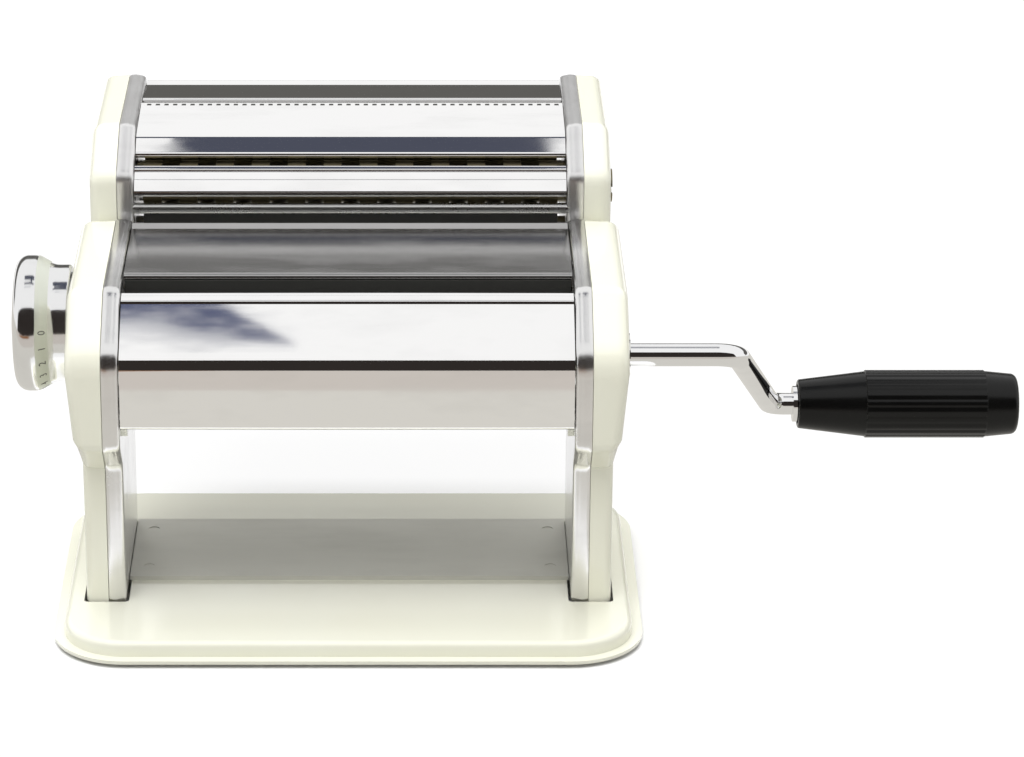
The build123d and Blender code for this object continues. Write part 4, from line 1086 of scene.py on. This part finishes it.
        # A near-black sheet behind the front sheet is painted shade: it darkens the view into the attachment under the
        # cutters.
        cutter_shade = folded_sheet("cutter_front_apron", [(f + 5.0, low + 1.3), (f + 5.0, low - 13.0), (f + 7.0, low - 14.6)],
                             (1.0,), 0.6, self.fine_half, SHADE_AND_COMB_STEEL)
        shop.fit(cutter_shade, Body.CUTTER_UNIT)
        shop.fit(self.comb_tabs(), Body.CUTTER_UNIT)
        fine = self.fine_cutter("fine_grooved_front", self.fine_front, 0.0, False)
        shop.fit(fine, Body.FINE_FRONT, ["fine_cutter_front"])
        fine = self.fine_cutter("fine_grooved_rear", self.fine_rear, self.fine_pitch / 2, True)
        shop.fit(fine, Body.FINE_REAR, ["fine_cutter_rear"])


# ---------------------------------------------------------------- the studio
@dataclass
class Studio:
    """A pale table, plain soft light, a camera at the photograph's angle, and cards that the steel sees."""

    focal_pixels: float = 4200.0
    image_width: int = 1024
    axis_pixel: float = 410.0
    pitch: float = 22.0
    eye: tuple[float, float, float] = (0.0215, -1.3684, 0.6325)
    sky_light: float = 0.70
    table_glow: float = 0.85
    footprint: tuple[float, float] = (0.1025, 0.0688)
    table_half: float = 8000.0
    room: float = 9.0
    wall: float = 4.0
    sill: float = 0.12
    wall_top: float = 22.0
    room_top: float = 46.0

    def camera(self) -> None:
        """Set the camera: looking down by pitch, shifted sideways to the photograph's framing."""
        lens = bpy.data.cameras.new("camera")
        lens.sensor_width = 36.0
        lens.lens = self.focal_pixels / self.image_width * 36.0
        lens.shift_x = (self.image_width / 2 - self.axis_pixel) / self.image_width
        lens.clip_end = 50.0
        eye = bpy.data.objects.new("camera", lens)
        eye.location = self.eye
        eye.rotation_euler = (math.radians(90.0 - self.pitch), 0.0, 0.0)
        bpy.context.scene.collection.objects.link(eye)
        bpy.context.scene.camera = eye

    def seen(self, graph: Graph) -> Signal:
        """1 where the camera, a mirror or glass looks straight at it, else 0."""
        ray = graph.add("ShaderNodeLightPath")
        return (ray[0] + ray[3] + ray[6]).clamped()

    def sky(self) -> None:
        """A plain white world: white where it is seen, a little dimmer as a light."""
        world = bpy.data.worlds.new("studio")
        bpy.context.scene.world = world
        world.use_nodes = True
        graph = Graph(world.node_tree)
        lit = graph.add("ShaderNodeBackground", None, {"Color": (1.0, 1.0, 1.0), "Strength": self.sky_light})[0]
        white = graph.add("ShaderNodeBackground", None, {"Color": (1.0, 1.0, 1.0), "Strength": 1.0})[0]
        both = graph.add("ShaderNodeMixShader", None, {0: self.seen(graph), 1: lit, 2: white})[0]
        graph.add("ShaderNodeOutputWorld", None, {"Surface": both})

    def table(self) -> None:
        """A wide pale table top that keeps the machine's shadow, partly lit from itself where it is seen."""
        material = bpy.data.materials.new("pale_table")
        material.use_nodes = True
        graph = Graph(material.node_tree)
        tone = graph.noise(graph.place(), 3.0, 2.0)
        white = graph.mix(tone, (0.98, 0.98, 0.98), (0.96, 0.96, 0.955))
        seen = self.seen(graph)
        values = {"Base Color": graph.mix(seen, (0.42, 0.415, 0.39), white), "Roughness": 0.6}
        top = graph.add("ShaderNodeBsdfPrincipled", None, values)[0]
        glow = graph.add("ShaderNodeEmission", None, {"Color": (1.0, 1.0, 1.0), "Strength": 1.0})[0]
        away = graph.clear_of(*self.footprint).above(0.016, 0.024)
        both = graph.add("ShaderNodeMixShader", None, {0: seen * (away * self.table_glow), 1: top, 2: glow})[0]
        graph.add("ShaderNodeOutputMaterial", None, {"Surface": both})
        corners = np.array([[-1, -1, 0], [1, -1, 0], [1, 1, 0], [-1, 1, 0]], float) * self.table_half
        sheet = piece_from("table_top", corners, [[0, 1, 2, 3]], CREAM)
        sheet.data.materials[0] = material

    def card(self, name: str, colour: Colour, corners: Sequence[tuple[float, float, float]]) -> None:
        """A flat card that only polished metal sees.

        Args:
            name: the card's name.
            colour: how bright it is.
            corners: its corners in metres, in order.
        """
        material = bpy.data.materials.new(name)
        material.use_nodes = True
        graph = Graph(material.node_tree)
        glow = graph.add("ShaderNodeEmission", None, {"Color": colour, "Strength": 1.0})[0]
        graph.add("ShaderNodeOutputMaterial", None, {"Surface": glow})
        made = piece_from(name, np.asarray(corners, float) / MM, [list(range(len(corners)))], CREAM)
        made.data.materials[0] = material
        made.visible_camera = made.visible_diffuse = made.visible_shadow = made.visible_transmission = False

    def lamp(self, name: str, spot: Triple, turn: Triple, size: float, power: float) -> None:
        """A square soft lamp that is not seen itself.

        Args:
            name: the lamp's name.
            spot: its place in metres.
            turn: its turn about each axis in degrees.
            size: the square's side in metres.
            power: its power in watts.
        """
        light = bpy.data.lights.new(name, "AREA")
        light.size = size
        light.energy = power
        made = bpy.data.objects.new(name, light)
        made.location = spot
        made.rotation_euler = tuple(math.radians(a) for a in turn)
        made.visible_glossy = made.visible_camera = False
        bpy.context.scene.collection.objects.link(made)

    def level_card(self, name: str, colour: Colour, low: tuple[float, float], high: tuple[float, float],
                   height: float) -> None:
        """A level card.

        Args:
            name: the card's name.
            colour: how bright it is.
            low: its lower corner, (x, y) in metres.
            high: its upper corner, (x, y) in metres.
            height: how high it lies.
        """
        self.card(name, colour, [(low[0], low[1], height), (high[0], low[1], height),
                                 (high[0], high[1], height), (low[0], high[1], height)])

    def wall_card(self, name: str, colour: Colour, y: float, height: float) -> None:
        """An upright card across the whole room at a distance y, from the table up to height."""
        self.card(name, colour, [(-self.room, y, 0.0), (self.room, y, 0.0), (self.room, y, height),
                                 (-self.room, y, height)])

    def cards(self) -> None:
        """The room that the steel reflects: walls behind and in front, table tops, and slate panels above."""
        far, wide = self.wall, self.room
        behind, ahead = (self.sill + far * math.tan(math.radians(a)) for a in (self.wall_top, self.room_top))
        self.wall_card("dark_wall_behind", (0.118, 0.115, 0.108), far, behind)
        self.wall_card("dark_room_in_front", (0.030, 0.025, 0.023), -far, ahead)
        pale, low = (0.70, 0.68, 0.63), 0.002
        change, edge, side, rear = -0.262, -0.12, 0.112, 0.5
        self.level_card("beige_table_in_front", (0.62, 0.575, 0.53), (-wide, -far), (wide, change), low)
        self.level_card("beige_table_near", pale, (-wide, change), (wide, edge), low)
        self.level_card("beige_table_left", pale, (-wide, edge), (-side, rear), low)
        self.level_card("beige_table_right", pale, (side, edge), (wide, rear), low)
        self.card("brown_wood_in_front", (0.28, 0.12, 0.045), [
            (-1.5, -3.0, 2 * low), (-0.17, -3.0, 2 * low), (-0.15, -0.9, 2 * low), (-1.5, -0.9, 2 * low)])
        slate, over = (0.075, 0.082, 0.115), 2.0
        self.level_card("slate_card_overhead", slate, (-0.17, 0.10), (0.135, 0.30), over)
        self.level_card("slate_card_near", slate, (-0.5, -0.03), (0.5, 0.10), over)
        self.level_card("slate_card_far", slate, (-0.5, 0.30), (0.5, 0.62), over)
        self.card("slate_card_left", (0.090, 0.105, 0.190), [
            (x, y, over) for x, y in ((-0.50, -0.190), (-0.147, -0.190), (-0.119, -0.212), (-0.095, -0.226),
                                      (-0.069, -0.240), (-0.123, -0.236), (-0.171, -0.229), (-0.195, -0.220),
                                      (-0.50, -0.218))])

    def build(self) -> None:
        """Set up the whole studio."""
        self.camera()
        self.sky()
        self.table()
        self.cards()
        self.lamp("overhead_box", (-0.4, -0.5, 2.4), (10.0, -8.0, 0.0), 2.2, 56.0)
        self.lamp("rear_box", (0.0, 1.6, 0.8), (-64.0, 0.0, 0.0), 1.6, 26.0)


def main() -> None:
    """Load the frame, build every sub-assembly, dress the CAD pieces and set the studio."""
    logging.basicConfig(level=logging.INFO, format="%(message)s")
    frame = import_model()
    shop = Workshop()
    for assembly in (SideFrames(), FoldedPanels(), Knob(), Crank(), CutterUnit()):
        assembly.build(shop)
    for node, finish in NODE_FINISHES.items():
        for holder in frame["nodes"][node].material_slots:
            holder.material = finish.material()
        LOG.info("CAD piece %s in %s", node, finish.name)
    LOG.info("%d new pieces", shop.count)
    Studio().build()
    bpy.context.scene.view_settings.view_transform = "Standard"


if __name__ == "__main__":
    main()
